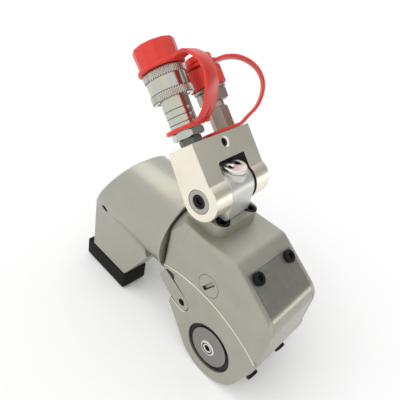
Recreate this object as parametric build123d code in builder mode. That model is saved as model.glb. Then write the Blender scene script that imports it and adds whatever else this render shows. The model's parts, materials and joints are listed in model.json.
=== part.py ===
from build123d import *

import os
from math import acos, atan2, cos, hypot, pi, radians, sin, tan

# Hydraulic torque wrench with a swivelling hose manifold and a splined reaction arm.
# +X points out of the nose, +Y to the side that the square drive stands out of, +Z up to the swivel.
# The origin is the drive axis at the middle of the head. Millimetres and degrees.

# Head
HEAD_WIDTH = 68.0
NOSE_R = 33.5
TOP_Z = 93.5
FRONT_X = 41.0
FRONT_LOW_Z = 18.0
SLOPE_TOP_X = -2.3
SLOPE_ANGLE = 33.6
SHOULDER_X = -66.5
SHOULDER_LOW_Z = 27.4
BEND_RADII = [20.0, 6.0, 9.0, 0.6, 0.6]
EDGE_FILLET = 4.2
NOSE_EDGE = 1.2
STEP_DEPTH = 0.7
STEP_ARC_R = 118.0
STEP_ARC_X = -28.0
STEP_ARC_Z = -70.0
REAR_CONE_R = 36.3
REAR_CONE_RISE = 0.835
REAR_CONE_LOW_X = -56.0
REAR_CONE_LOW_Z = 40.0
REAR_CONE_OUT_R = 60.0

# Inside the head
CAVITY_HALF = 21.5
CAVITY_GAP = 0.7
PAWL_SLOT_HALF = 12.4
FRONT_WINDOW_HALF = 16.0
FRONT_WINDOW_X = 16.0
FRONT_WINDOW_LOW_Z = 7.0
FRONT_WINDOW_TOP_Z = 72.0

# Cylinder and splined barrel, along X at this height
ROD_Z = 59.5
BORE_R = 19.0
CHAMBER_FRONT_X = -50.0
BARREL_END_X = -126.0
BARREL_NECK_R = 29.6
NECK_LENGTH = 4.0
SPLINE_COUNT = 36
SPLINE_ROOT_R = 30.2
SPLINE_TIP_R = 31.8
SPLINE_SHARE = 0.46
SPLINE_GAP = 0.15
CAP_FLANGE_R = 25.0
CAP_FLANGE_T = 8.0
CAP_FIT = 0.05
SPIGOT_R = 14.0
SPIGOT_END_X = -150.0
CAP_SPANNER_R = 1.6
CAP_SPANNER_AT = 19.5
OIL_WAY_R = 1.3
OIL_PORT_R = 1.0
OIL_WAY_Z = 81.9
OIL_FRONT_X = -53.0
OIL_REAR_X = -60.3

# Piston and rod
STROKE_ANGLE = 24.0
REST_ANGLE = -16.0
ROD_R = 11.0
ROD_SPIGOT_R = 7.0
PISTON_T = 22.0
PISTON_TRAVEL_MARGIN = 2.4
PISTON_NUT_AF = 20.0
PISTON_NUT_T = 7.0
PISTON_NUT_POCKET_R = 12.5
ROD_PIN_R = 6.5
RUN_GAP = 0.05
SEAL_T = 3.0
SEAL_DEPTH = 2.2
GLAND_R = 14.0
GLAND_T = 10.0
GLAND_X = -34.0
ROD_SEAL_R = 14.6
ROD_SEAL_T = 3.6

# Crank (two drive plates), drive pawl and ratchet
PLATE_T = 8.0
PLATE_IN = 12.5
PLATE_HUB_R = 26.0
PLATE_END_R = 11.0
PIN_SLOT_SIDE_GAP = 0.35
LOBE_R = 10.0
LOBE_WALL = 1.0
LOBE_TURN = -25.0
CARRIER_HALF = 12.4
CARRIER_TURN = -22.0
CARRIER_SPREAD = 20.0
CARRIER_LOW_R = 26.2
CARRIER_WALL = 4.8
PAWL_WIDTH = 12.0
PAWL_HALF = 11.8
PAWL_TOP_R = 34.0
PAWL_LIFT = 2.2
PAWL_SIDE_GAP = 0.1
SPRING_R = 2.4
SPRING_WIRE = 0.7
SPRING_TURNS = 4
SPRING_Y = 6.0
SPRING_POCKET_R = 3.2
DOWEL_R = 2.5
DOWEL_AT_R = 33.0
DOWEL_SPREAD = 15.0
TEETH = 45
RATCHET_HALF = 12.0
RATCHET_TIP_R = 25.0
RATCHET_ROOT_R = 23.2
TOOTH_RAMP_SHARE = 0.85
MESH_GAP = 0.12
RATCHET_HUB_R = 20.9
HUB_HALF = 21.8
JOURNAL_R = 18.4
JOURNAL_END = 28.4
BUSH_R = 22.3
BUSH_IN = 22.0
BUSH_OUT = 31.0
SEAL_RING_T = 1.2

# Square drive and its retainer
SQUARE = 25.4
SQUARE_LENGTH = 27.0
SQUARE_CORNER = 1.6
SQUARE_CHAMFER = 1.4
DRIVE_SPLINES = 12
DRIVE_SPLINE_ROOT_R = 14.0
DRIVE_SPLINE_TIP_R = 15.6
DRIVE_SPLINE_GAP = 0.1
DRIVE_HEAD_R = 18.1
DRIVE_HEAD_T = 5.2
DRIVE_TAIL_R = 9.0
DRIVE_TAIL_T = 2.4
RETAINER_LIP = 0.8
BUTTON_R = 7.4
BUTTON_FLANGE_R = 8.2
BUTTON_PROUD = 1.0
BUTTON_T = 2.4
BUTTON_HEX = 4.0
DETENT_R = 2.5

# Reaction pawl and its levers
PAWL_PIVOT = (-37.0, 19.8)
PAWL_PIN_R = 4.5
PAWL_EYE_R = 8.0
PAWL_NOSE_R = 4.6
PAWL_NOSE_AT = (-14.4, 23.45)
PAWL_TOOTH = 15
PAWL_LIFTED = 5.0
PAWL_SWING_DOWN = 5.0
PAWL_SWING_UP = 8.0
PAWL_SPRING_X = -31.5
PAWL_SPRING_SEAT_Z = 26.5
PAWL_SPRING_TOP_Z = 41.5
LEVER_T = 2.8
LEVER_EYE_R = 7.4
LEVER_CORNERS = [(-65.6, 28.8), (-60.4, 35.8), (-53.0, 20.6)]
LEVER_CORNER_R = 2.0
LEVER_TAB = 6.0
LEVER_TAB_CORNERS = [(-64.9, 30.4), (-60.4, 36.8), (-55.6, 32.4), (-61.2, 25.0)]
LEVER_RECESS = 3.0
LEVER_RECESS_GAP = 0.9
LEVER_END_R = 3.5
LEVER_HEX = 4.0
NOTCH_X = -50.0
NOTCH_Z = 41.0
NOTCH_IN = 25.0

# Front cover and rod pin plug
COVER_T = 4.0
COVER_HALF = 26.4
COVER_TOP_X = 7.3
COVER_LOW_Z = -9.0
COVER_GAP = 0.25
COVER_SCREW_Y = 19.7
COVER_SCREW_TOP_X = 11.6
COVER_SCREW_LOW_Z = -3.0
SCREW_HEAD_R = 5.2
SCREW_HEAD_H = 3.2
SCREW_SHANK_R = 2.9
SCREW_HOLE_GAP = 0.05
COVER_SCREW_GRIP = 3.4
SCREW_HEX = 5.0
PLUG_X = -17.0
PLUG_Z = 58.7
PLUG_R = 10.0
PLUG_FLANGE_T = 3.0
PLUG_SHANK_R = 8.4
PLUG_SLOT = 3.0
PLUG_SLOT_LENGTH = 13.4
PLUG_SLOT_DEPTH = 2.0
PLUG_SLOT_TURN = 57.9

# Reaction arm, foot and pad
ARM_R = 39.0
ARM_FRONT_X = -67.5
ARM_BACK_X = -163.5
ARM_FLARE = 0.8
ARM_BORE_END_X = -130.0
ARM_SPIGOT_END_X = -153.0
DOME_CENTRE = (-75.0, 4.0, 20.0)
DOME_R = 97.5
LEG_NEAR_Y = -35.0
LEG_FAR_Y = -8.0
LEG_OUTLINE = [(-92.0, 46.0), (-84.5, 33.0), (-111.0, -12.0), (-163.5, -12.0), (-163.5, 46.0)]
FOOT_SPIGOT = (-160.0, -116.0, -31.0, -12.0)
FOOT_SPIGOT_H = 12.0
FOOT_Z = -12.0
PAD_LOW_Z = -31.5
PAD_BACK_X = -172.5
PAD_FRONT_X = -110.0
PAD_NEAR_Y = -35.5
PAD_FAR_Y = -7.5
PAD_FIT = 0.1
PAD_EDGE = 2.5
RIB_OUTLINE = [(-9.0, -10.0), (28.0, 33.0), (10.0, 45.0), (-9.0, 45.0)]
RIB_FRONT_X = -112.0
RIB_BACK_X = -156.0
SET_SCREW_X = -146.5
SET_SCREW_TURN = 20.0
SET_SCREW_R = 4.0
SET_SCREW_LENGTH = 19.0
SET_SCREW_HEX = 4.0
SET_SCREW_END_GAP = 0.3

# Swivel
SWIVEL_X = -46.5
SWIVEL_TURN = 3.6
FLANGE_X = -45.0
FLANGE_LENGTH = 39.0
FLANGE_WIDTH = 48.0
FLANGE_T = 11.0
FLANGE_CORNER = 8.0
FLANGE_SCREW_X = 14.0
FLANGE_SCREW_Y = 16.5
FLANGE_SCREW_SEAT = 5.0
FLANGE_SCREW_GRIP = 8.0
CAP_SCREW_R = 4.9
CAP_SCREW_H = 5.2
POST_R = 7.0
POST_FOOT_R = 12.0
POST_FOOT_T = 4.0
POST_TOP_Z = 138.3
POST_SPIGOT_R = 4.0
POST_CAP_R = 10.3
POST_CAP_T = 3.2
POST_SPIGOT_H = 1.0
SPANNER_HOLE_R = 1.8
SPANNER_HOLE_AT = 4.4
TILT_Z = 121.4
SWIVEL_HALF = 15.5
SWIVEL_BODY_R = 15.5
SWIVEL_NECK_R = 11.2
SWIVEL_REST_GAP = 0.3

# Manifold block: its own axes are v, forward; y, across; and u, up along the couplers
TILT_REST = 43.8
BLOCK_HALF = 34.0
BLOCK_HEIGHT = 39.1
BLOCK_FRONT_V = 14.3
BLOCK_BACK_V = -11.0
BLOCK_LOBE_R = 15.7
BLOCK_LOBE_V = 0.6
BLOCK_EDGE = 0.6
SLOT_HALF = 15.8
SLOT_R = 24.9
TILT_PIN_HEAD_R = 9.3
TILT_PIN_HEAD_T = 4.0
TILT_PIN_R = 6.0
TILT_PIN_INNER = 10.0
TILT_PIN_HEX = 8.5
PORT_R = 6.5
PORT_DEPTH = 12.0
PORT_V = 1.5
PORT_INSET = 14.0
PORT_WAY_R = 2.0
PASSAGE_U = 32.3
PASSAGE_PLUG_R = 3.0
PASSAGE_PLUG_T = 5.0
PASSAGE_SINK_R = 4.2

# Female coupler (pressure side), heights measured along u from the block's top
F_ADAPTER_HEX = 15.0
F_ADAPTER_H = 5.0
F_HEX = 21.5
F_HEX_END = 10.6
F_BARREL_R = 10.3
F_GROOVES = [16.0, 21.0, 26.0]
F_GROOVE_W = 1.2
F_GROOVE_D = 0.5
F_BARREL_END = 34.6
F_BODY_R = 12.4
F_BODY_END = 54.6
F_SOCKET_R = 8.6
F_SOCKET_DEPTH = 16.0
SLEEVE_START = 34.0
SLEEVE_END = 55.0
SLEEVE_KNURL_R = 15.5
SLEEVE_R = 15.0
SLEEVE_KNURL_H = 6.0
F_CAP_R = 15.1
F_CAP_LIP_R = 17.5
F_CAP_LIP_H = 3.2
F_CAP_START = 55.5
F_CAP_END = 73.6
F_CAP_FACETS = 12
F_CAP_PLUG = 8.5

# Male coupler (return side)
M_ADAPTER_HEX = 15.0
M_ADAPTER_H = 19.5
M_NECK_R = 7.0
M_NECK_END = 24.0
M_HEX = 21.0
M_HEX_END = 33.0
M_RING_R = 12.8
M_RING_END = 35.4
M_NIPPLE_R = 9.4
M_NIPPLE_TIP_R = 7.2
M_CAP_R = 14.4
M_CAP_START = 35.8
M_CAP_SHOULDER = 50.4
M_CAP_WALL = 1.2
M_CAP_FLOOR_GAP = 0.6
M_CAP_NECK_H = 5.2
M_CAP_NECK_R = 9.4
M_CAP_TOP_R = 10.8
M_CAP_TOP_H = 5.4
M_CAP_RIBS = 14
CAP_FIT_GAP = 0.1
COUPLER_WAY_R = 2.5

# Cap straps: flat moulded bands, each bowed in one plane
STRAP_WIDTH = 11.5
F_STRAP_WIDTH = 16.0
STRAP_T = 2.4
STRAP_STEPS = 20
F_STRAP_TURN = 10.0
F_STRAP_ROUTE = [
    (15.2, 60.0),
    (26.5, 57.2),
    (33.2, 49.5),
    (34.6, 40.0),
    (32.4, 31.0),
    (27.0, 22.0),
    (14.0, 12.4),
]
F_STRAP_RING = (10.5, 14.6, 11.0)
M_STRAP_TURN = 49.0
M_STRAP_ROUTE = [
    (12.0, 53.4),
    (20.0, 53.4),
    (29.0, 50.4),
    (36.5, 44.0),
    (41.0, 35.5),
    (41.4, 26.0),
    (37.6, 17.4),
    (30.0, 9.6),
    (20.0, 4.8),
    (14.5, 2.1),
    (11.5, 1.6),
]
M_STRAP_TOP_RING = (9.5, 14.0)
M_STRAP_TOP_GAP = 1.8
M_STRAP_LOW_RING = (8.8, 14.2)
M_STRAP_LOW_GAP = 0.3

# Sizes that follow from those above
half = HEAD_WIDTH / 2
rod_pin_x = ROD_Z * tan(radians(REST_ANGLE))
rod_pin_far_x = ROD_Z * tan(radians(REST_ANGLE + STROKE_ANGLE))
stroke = rod_pin_far_x - rod_pin_x
pin_near = ROD_Z
pin_far = ROD_Z / cos(radians(REST_ANGLE))
piston_front_x = CHAMBER_FRONT_X - stroke - PISTON_TRAVEL_MARGIN
piston_back_x = piston_front_x - PISTON_T
cap_front_x = piston_back_x - 1.2
cap_seat_x = BARREL_END_X + CAP_FLANGE_T
slope = tan(radians(SLOPE_ANGLE))
front_top_z = TOP_Z - (FRONT_X - SLOPE_TOP_X) * slope
plate_out = PLATE_IN + PLATE_T
flange_top_z = TOP_Z + FLANGE_T
pitch = 360 / TEETH
crank_polar = 90 - REST_ANGLE
lever_in = half - LEVER_RECESS + 0.1
drive_back_y = half - DRIVE_HEAD_T
retainer_in_y = drive_back_y
tail_end_y = JOURNAL_END + DRIVE_TAIL_T
carrier_top_r = PAWL_TOP_R + PAWL_LIFT + CARRIER_WALL
lobe_at_r = carrier_top_r + LOBE_WALL - LOBE_R
port_y = BLOCK_HALF - PORT_INSET
nipple_end = M_CAP_SHOULDER - M_CAP_WALL - M_CAP_FLOOR_GAP
nipple_length = nipple_end - M_RING_END
m_cap_neck_end = M_CAP_SHOULDER + M_CAP_NECK_H
m_cap_end = m_cap_neck_end + M_CAP_TOP_H
m_ring_low = M_CAP_SHOULDER + M_STRAP_TOP_GAP
m_route_share = (m_ring_low + STRAP_T / 2) / M_STRAP_ROUTE[0][1]
m_strap_route = [(x, height * m_route_share) for x, height in M_STRAP_ROUTE]

# Directions of the swivel and the block as they stand: turned about the post, then tilted
turn = radians(SWIVEL_TURN)
tilt = radians(TILT_REST)
ahead = Vector(cos(turn), sin(turn), 0)
y_dir = Vector(-sin(turn), cos(turn), 0)
v_dir = ahead * cos(tilt) + Vector(0, 0, sin(tilt))
u_dir = ahead * -sin(tilt) + Vector(0, 0, cos(tilt))
pivot = Vector(SWIVEL_X, 0, TILT_Z)

# Axes and planes: on each of these planes x is radius or length and y is height
drive_axis = Axis.Y
rod_axis = Axis((0, 0, ROD_Z), (1, 0, 0))
rod_plane = Plane(origin=(0, 0, ROD_Z), x_dir=(1, 0, 0), z_dir=(0, -1, 0))
swivel_axis = Axis((SWIVEL_X, 0, 0), (0, 0, 1))
swivel_plane = Plane(origin=(SWIVEL_X, 0, 0), x_dir=(1, 0, 0), z_dir=(0, -1, 0))
tilt_axis = Axis(pivot, y_dir)


def polar(radius, angle):
    """Point at a radius and an angle in degrees."""
    return (radius * cos(radians(angle)), radius * sin(radians(angle)))


def spun(point, centre, angle):
    """Point turned anticlockwise about centre by an angle in degrees."""
    x = point[0] - centre[0]
    y = point[1] - centre[1]
    c = cos(radians(angle))
    s = sin(radians(angle))
    return (centre[0] + c * x - s * y, centre[1] + s * x + c * y)


def tangent_point(point, radius, side):
    """Point where a line from point touches the circle of that radius about the origin."""
    angle = atan2(point[1], point[0]) + side * acos(radius / hypot(*point))
    return (radius * cos(angle), radius * sin(angle))


def side_plane(y):
    """Plane across Y at that width, with X to the right and Z up; it faces -Y."""
    return Plane(origin=(0, y, 0), x_dir=(1, 0, 0), z_dir=(0, -1, 0))


def swivel_side(y):
    """Plane across the swivel at that width, with its origin on the tilt axis and Z up."""
    return Plane(origin=pivot + y_dir * y, x_dir=ahead, z_dir=-y_dir)


def off_middle(edge):
    """Distance of an edge from the swivel's middle plane."""
    return abs((edge.center() - pivot).dot(y_dir))


def block_side(y):
    """Plane across the block at that width, with v to the right and u up."""
    return Plane(origin=pivot + y_dir * y, x_dir=v_dir, z_dir=-y_dir)


def coupler_plane(side):
    """Plane through a coupler's axis, side -1 for the female and +1 for the male."""
    return Plane(origin=coupler_base(side), x_dir=v_dir, z_dir=-y_dir)


def coupler_base(side):
    """Foot of a coupler's axis on the block's top."""
    return pivot + v_dir * PORT_V + y_dir * (side * port_y) + u_dir * BLOCK_HEIGHT


def coupler_level(side, height):
    """Plane across a coupler's axis at a height above the block's top."""
    return Plane(origin=coupler_base(side) + u_dir * height, x_dir=v_dir, z_dir=u_dir)


def head_outline(inset=0.0):
    """Side outline of the head, moved inwards by inset."""
    front_touch = tangent_point((FRONT_X, FRONT_LOW_Z), NOSE_R, -1)
    rear_touch = tangent_point((SHOULDER_X, SHOULDER_LOW_Z), NOSE_R, 1)
    with BuildSketch() as outline:
        with BuildLine():
            FilletPolyline(
                front_touch,
                (FRONT_X, FRONT_LOW_Z),
                (FRONT_X, front_top_z),
                (SLOPE_TOP_X, TOP_Z),
                (SHOULDER_X, TOP_Z),
                (SHOULDER_X, SHOULDER_LOW_Z),
                rear_touch,
                radius=BEND_RADII,
            )
            ThreePointArc(rear_touch, (0, -NOSE_R), front_touch)
        make_face()
        if inset:
            offset(amount=-inset, mode=Mode.REPLACE)
    return outline.sketch


def hull_of_circles(*circles):
    """Outline drawn tight round circles, each given as (x, y, radius)."""
    with BuildSketch() as outline:
        with BuildLine():
            for x, y, radius in circles:
                CenterArc((x, y), radius, 0, 360)
        make_hull()
    return outline.sketch


def saw_wheel(gap=0.0):
    """Ratchet wheel outline: long ramps up and steep faces that look anticlockwise."""
    points = []
    for tooth in range(TEETH):
        points.append(polar(RATCHET_ROOT_R, tooth * pitch))
        points.append(polar(RATCHET_TIP_R, (tooth + TOOTH_RAMP_SHARE) * pitch))
    with BuildSketch() as wheel:
        Polygon(*points, align=None)
        if gap:
            offset(amount=gap, kind=Kind.INTERSECTION, mode=Mode.REPLACE)
    return wheel.sketch


def splined_disc(root_r, tip_r, count, share, gap=0.0):
    """Round outline with straight-sided splines, grown by gap."""
    key_width = 2 * pi * tip_r / count * share
    with BuildSketch() as disc:
        with PolarLocations(0, count):
            with Locations((tip_r / 2, 0)):
                Rectangle(tip_r + 2 * gap + 1, key_width + 2 * gap)
        Circle(tip_r + gap, mode=Mode.INTERSECT)
        Circle(root_r + gap)
    return disc.sketch


def hexagon(across_flats):
    """Add a hexagon of that width to the sketch in hand."""
    RegularPolygon(radius=across_flats / 2, side_count=6, major_radius=False)


def slab(outline, low_y, high_y, mode=Mode.ADD):
    """Add or cut an outline drawn in X and Z, between two widths."""
    with BuildSketch(side_plane(high_y)) as section:
        add(outline)
    extrude(section.sketch, amount=high_y - low_y, mode=mode)


def turned(plane, axis, *outline, mode=Mode.ADD):
    """Add or cut the outline, given as (x, y) on the plane, spun about the axis."""
    with BuildSketch(plane) as section:
        Polygon(*outline, align=None)
    revolve(section.sketch, axis=axis, mode=mode)


def tube(outer, inner, low, high):
    """Outline of a tube's wall about the drive axis, as (radius, y)."""
    return [(inner, low), (outer, low), (outer, high), (inner, high)]


def band_face(route, end_tangent):
    """Outline of a bent band of even thickness whose middle line runs through route."""
    with BuildLine() as middle:
        Spline(*route, tangents=[(1, 0), end_tangent])
    upper = []
    lower = []
    for step in range(STRAP_STEPS + 1):
        point = middle.line @ (step / STRAP_STEPS)
        way = middle.line % (step / STRAP_STEPS)
        across = Vector(-way.Y, way.X) * (STRAP_T / 2)
        upper.append(point + across)
        lower.append(point - across)
    with BuildSketch() as band:
        with BuildLine():
            Spline(*upper)
            Line(upper[-1], lower[-1])
            Spline(*reversed(lower))
            Line(lower[0], upper[0])
        make_face()
    return band.sketch


def coil(foot, direction, across, length):
    """Add a coil spring of square wire from foot along direction."""
    way = Plane(origin=foot + direction * (SPRING_WIRE / 2), x_dir=across, z_dir=direction)
    rise = length - SPRING_WIRE
    with BuildLine(way) as path:
        Helix(pitch=rise / SPRING_TURNS, height=rise, radius=SPRING_R - SPRING_WIRE / 2)
    start = Plane(origin=path.line @ 0, x_dir=way.x_dir, z_dir=path.line % 0)
    with BuildSketch(start) as wire:
        Rectangle(SPRING_WIRE, SPRING_WIRE)
    sweep(wire.sketch, path=path.line, is_frenet=True)


# Outlines used by more than one piece
head_face = head_outline()
head_inner = head_outline(COVER_T)
wheel_face = saw_wheel()
wheel_clear = saw_wheel(MESH_GAP)
plate_end = polar((pin_near + pin_far) / 2, crank_polar)
plate_end_far = polar((pin_near + pin_far) / 2, crank_polar - STROKE_ANGLE)
plate_end_mid = polar((pin_near + pin_far) / 2, crank_polar - STROKE_ANGLE / 2)
lobe_at = polar(lobe_at_r, crank_polar + LOBE_TURN)
lobe_far = polar(lobe_at_r, crank_polar + LOBE_TURN - STROKE_ANGLE)
plate_face = hull_of_circles((0, 0, PLATE_HUB_R), (*plate_end, PLATE_END_R), (*lobe_at, LOBE_R))
pin_slot_face = hull_of_circles(
    (*polar(pin_near, crank_polar), ROD_PIN_R + PIN_SLOT_SIDE_GAP),
    (*polar(pin_far, crank_polar), ROD_PIN_R + PIN_SLOT_SIDE_GAP),
)
cavity_face = hull_of_circles(
    (0, 0, PLATE_HUB_R + CAVITY_GAP),
    (*plate_end, PLATE_END_R + CAVITY_GAP),
    (*plate_end_mid, PLATE_END_R + CAVITY_GAP),
    (*plate_end_far, PLATE_END_R + CAVITY_GAP),
    (*lobe_far, LOBE_R + CAVITY_GAP),
    (rod_pin_x, ROD_Z, ROD_R + CAVITY_GAP),
    (rod_pin_far_x, ROD_Z, ROD_R + CAVITY_GAP),
)
pawl_slot_face = hull_of_circles(
    (*PAWL_PIVOT, PAWL_EYE_R + 1.4),
    (-16.0, 29.0, 9.4),
    (-16.0, 22.0, 9.4),
)
lever_face = hull_of_circles(
    (*PAWL_PIVOT, LEVER_EYE_R),
    *[(*corner, LEVER_CORNER_R) for corner in LEVER_CORNERS],
)
lever_room_face = hull_of_circles(
    (*PAWL_PIVOT, LEVER_EYE_R + LEVER_RECESS_GAP),
    *[
        (*spun(corner, PAWL_PIVOT, swing), LEVER_CORNER_R + LEVER_RECESS_GAP)
        for corner in LEVER_CORNERS
        for swing in (-PAWL_SWING_DOWN, PAWL_SWING_UP)
    ],
)
pawl_root = polar(RATCHET_ROOT_R, PAWL_TOOTH * pitch)
pawl_tip = polar(RATCHET_TIP_R, (PAWL_TOOTH - 1 + TOOTH_RAMP_SHARE) * pitch)
with BuildSketch() as pawl_relief:
    Circle(RATCHET_TIP_R + 1)
    Polygon(
        (0, 0),
        polar(60, (PAWL_TOOTH + 0.8) * pitch),
        polar(60, 160),
        polar(60, 200),
        align=None,
        mode=Mode.INTERSECT,
    )
    Polygon(
        (pawl_root[0] - MESH_GAP, pawl_root[1]),
        (
            pawl_root[0] - MESH_GAP + 8 * (pawl_tip[0] - pawl_root[0]),
            pawl_root[1] + 8 * (pawl_tip[1] - pawl_root[1]),
        ),
        (10, 40),
        (10, 10),
        polar(RATCHET_ROOT_R - 3, PAWL_TOOTH * pitch),
        align=None,
    )
with BuildSketch() as pawl_outline:
    with BuildLine():
        CenterArc(PAWL_PIVOT, PAWL_EYE_R, 0, 360)
        CenterArc(PAWL_NOSE_AT, PAWL_NOSE_R, 0, 360)
    make_hull()
    for lift in range(round(PAWL_LIFTED + PAWL_SWING_UP) + 1):
        with Locations(spun((0, 0), PAWL_PIVOT, -lift)):
            add(wheel_clear, rotation=-lift, mode=Mode.SUBTRACT)
    add(pawl_relief.sketch, mode=Mode.SUBTRACT)
    with Locations(PAWL_PIVOT):
        Circle(PAWL_PIN_R, mode=Mode.SUBTRACT)
drive_spline_face = splined_disc(DRIVE_SPLINE_ROOT_R, DRIVE_SPLINE_TIP_R, DRIVE_SPLINES, 0.5)
drive_bore_face = splined_disc(
    DRIVE_SPLINE_ROOT_R, DRIVE_SPLINE_TIP_R, DRIVE_SPLINES, 0.5, DRIVE_SPLINE_GAP
)
barrel_face = splined_disc(SPLINE_ROOT_R, SPLINE_TIP_R, SPLINE_COUNT, SPLINE_SHARE)
arm_bore_face = splined_disc(SPLINE_ROOT_R, SPLINE_TIP_R, SPLINE_COUNT, SPLINE_SHARE, SPLINE_GAP)

# Cover screw places: a point on the cover and the way out from it
slope_out = (sin(radians(SLOPE_ANGLE)), cos(radians(SLOPE_ANGLE)))
low_touch = tangent_point((FRONT_X, FRONT_LOW_Z), NOSE_R, -1)
low_run = (FRONT_X - low_touch[0], FRONT_LOW_Z - low_touch[1])
low_out = (low_run[1] / hypot(*low_run), -low_run[0] / hypot(*low_run))
low_screw_x = low_touch[0] + (COVER_SCREW_LOW_Z - low_touch[1]) * low_run[0] / low_run[1]
top_screw_z = TOP_Z - (COVER_SCREW_TOP_X - SLOPE_TOP_X) * slope
cover_screw_planes = [
    Plane(origin=(x, side * COVER_SCREW_Y, z), x_dir=(0, 1, 0), z_dir=(out[0], 0, out[1]))
    for x, z, out in (
        (COVER_SCREW_TOP_X, top_screw_z, slope_out),
        (low_screw_x, COVER_SCREW_LOW_Z, low_out),
    )
    for side in (-1, 1)
]
flange_screw_spots = [
    (FLANGE_X + side_x * FLANGE_SCREW_X, side_y * FLANGE_SCREW_Y)
    for side_x in (-1, 1)
    for side_y in (-1, 1)
]
set_screw_out = Vector(0, -cos(radians(SET_SCREW_TURN)), -sin(radians(SET_SCREW_TURN)))
set_screw_foot = Vector(SET_SCREW_X, 0, ROD_Z) + set_screw_out * (SPIGOT_R + SET_SCREW_END_GAP)
set_screw_plane = Plane(origin=set_screw_foot, x_dir=(1, 0, 0), z_dir=set_screw_out)

# Head

# The zone round the drive stands a little proud of the side faces above it
with BuildPart() as proud_zone:
    slab(head_face, -half, half)
    nose_edges = [
        edge
        for edge in proud_zone.edges()
        if abs(abs(edge.center().Y) - half) < 0.01 and edge.center().X > SHOULDER_X + 1
    ]
    fillet(nose_edges, radius=NOSE_EDGE)
    with BuildSketch(side_plane(half + 1)):
        with Locations((STEP_ARC_X, STEP_ARC_Z)):
            Circle(STEP_ARC_R)
    extrude(amount=HEAD_WIDTH + 2, mode=Mode.INTERSECT)

# What is cut from the rear corners of the head: a cone about the rod axis
with BuildPart() as rear_cone:
    turned(
        rod_plane,
        rod_axis,
        (SHOULDER_X - 1, REAR_CONE_R - REAR_CONE_RISE),
        (REAR_CONE_LOW_X, REAR_CONE_R + REAR_CONE_RISE * (REAR_CONE_LOW_X - SHOULDER_X)),
        (REAR_CONE_LOW_X, REAR_CONE_OUT_R),
        (SHOULDER_X - 1, REAR_CONE_OUT_R),
    )

# The same cone above the levers, where it runs out at the top face
with BuildPart() as rear_cone_top:
    rear_cone_length = (REAR_CONE_OUT_R - REAR_CONE_R) / REAR_CONE_RISE
    turned(
        rod_plane,
        rod_axis,
        (SHOULDER_X - 1, REAR_CONE_R - REAR_CONE_RISE),
        (SHOULDER_X - 1 + rear_cone_length, REAR_CONE_OUT_R - REAR_CONE_RISE),
        (SHOULDER_X - 1, REAR_CONE_OUT_R - REAR_CONE_RISE),
    )
    with BuildSketch(Plane.XY.offset(REAR_CONE_LOW_Z)):
        with Locations((SHOULDER_X, 0)):
            Rectangle(4 * REAR_CONE_OUT_R, 4 * REAR_CONE_OUT_R)
    extrude(amount=2 * REAR_CONE_OUT_R, mode=Mode.INTERSECT)

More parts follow.
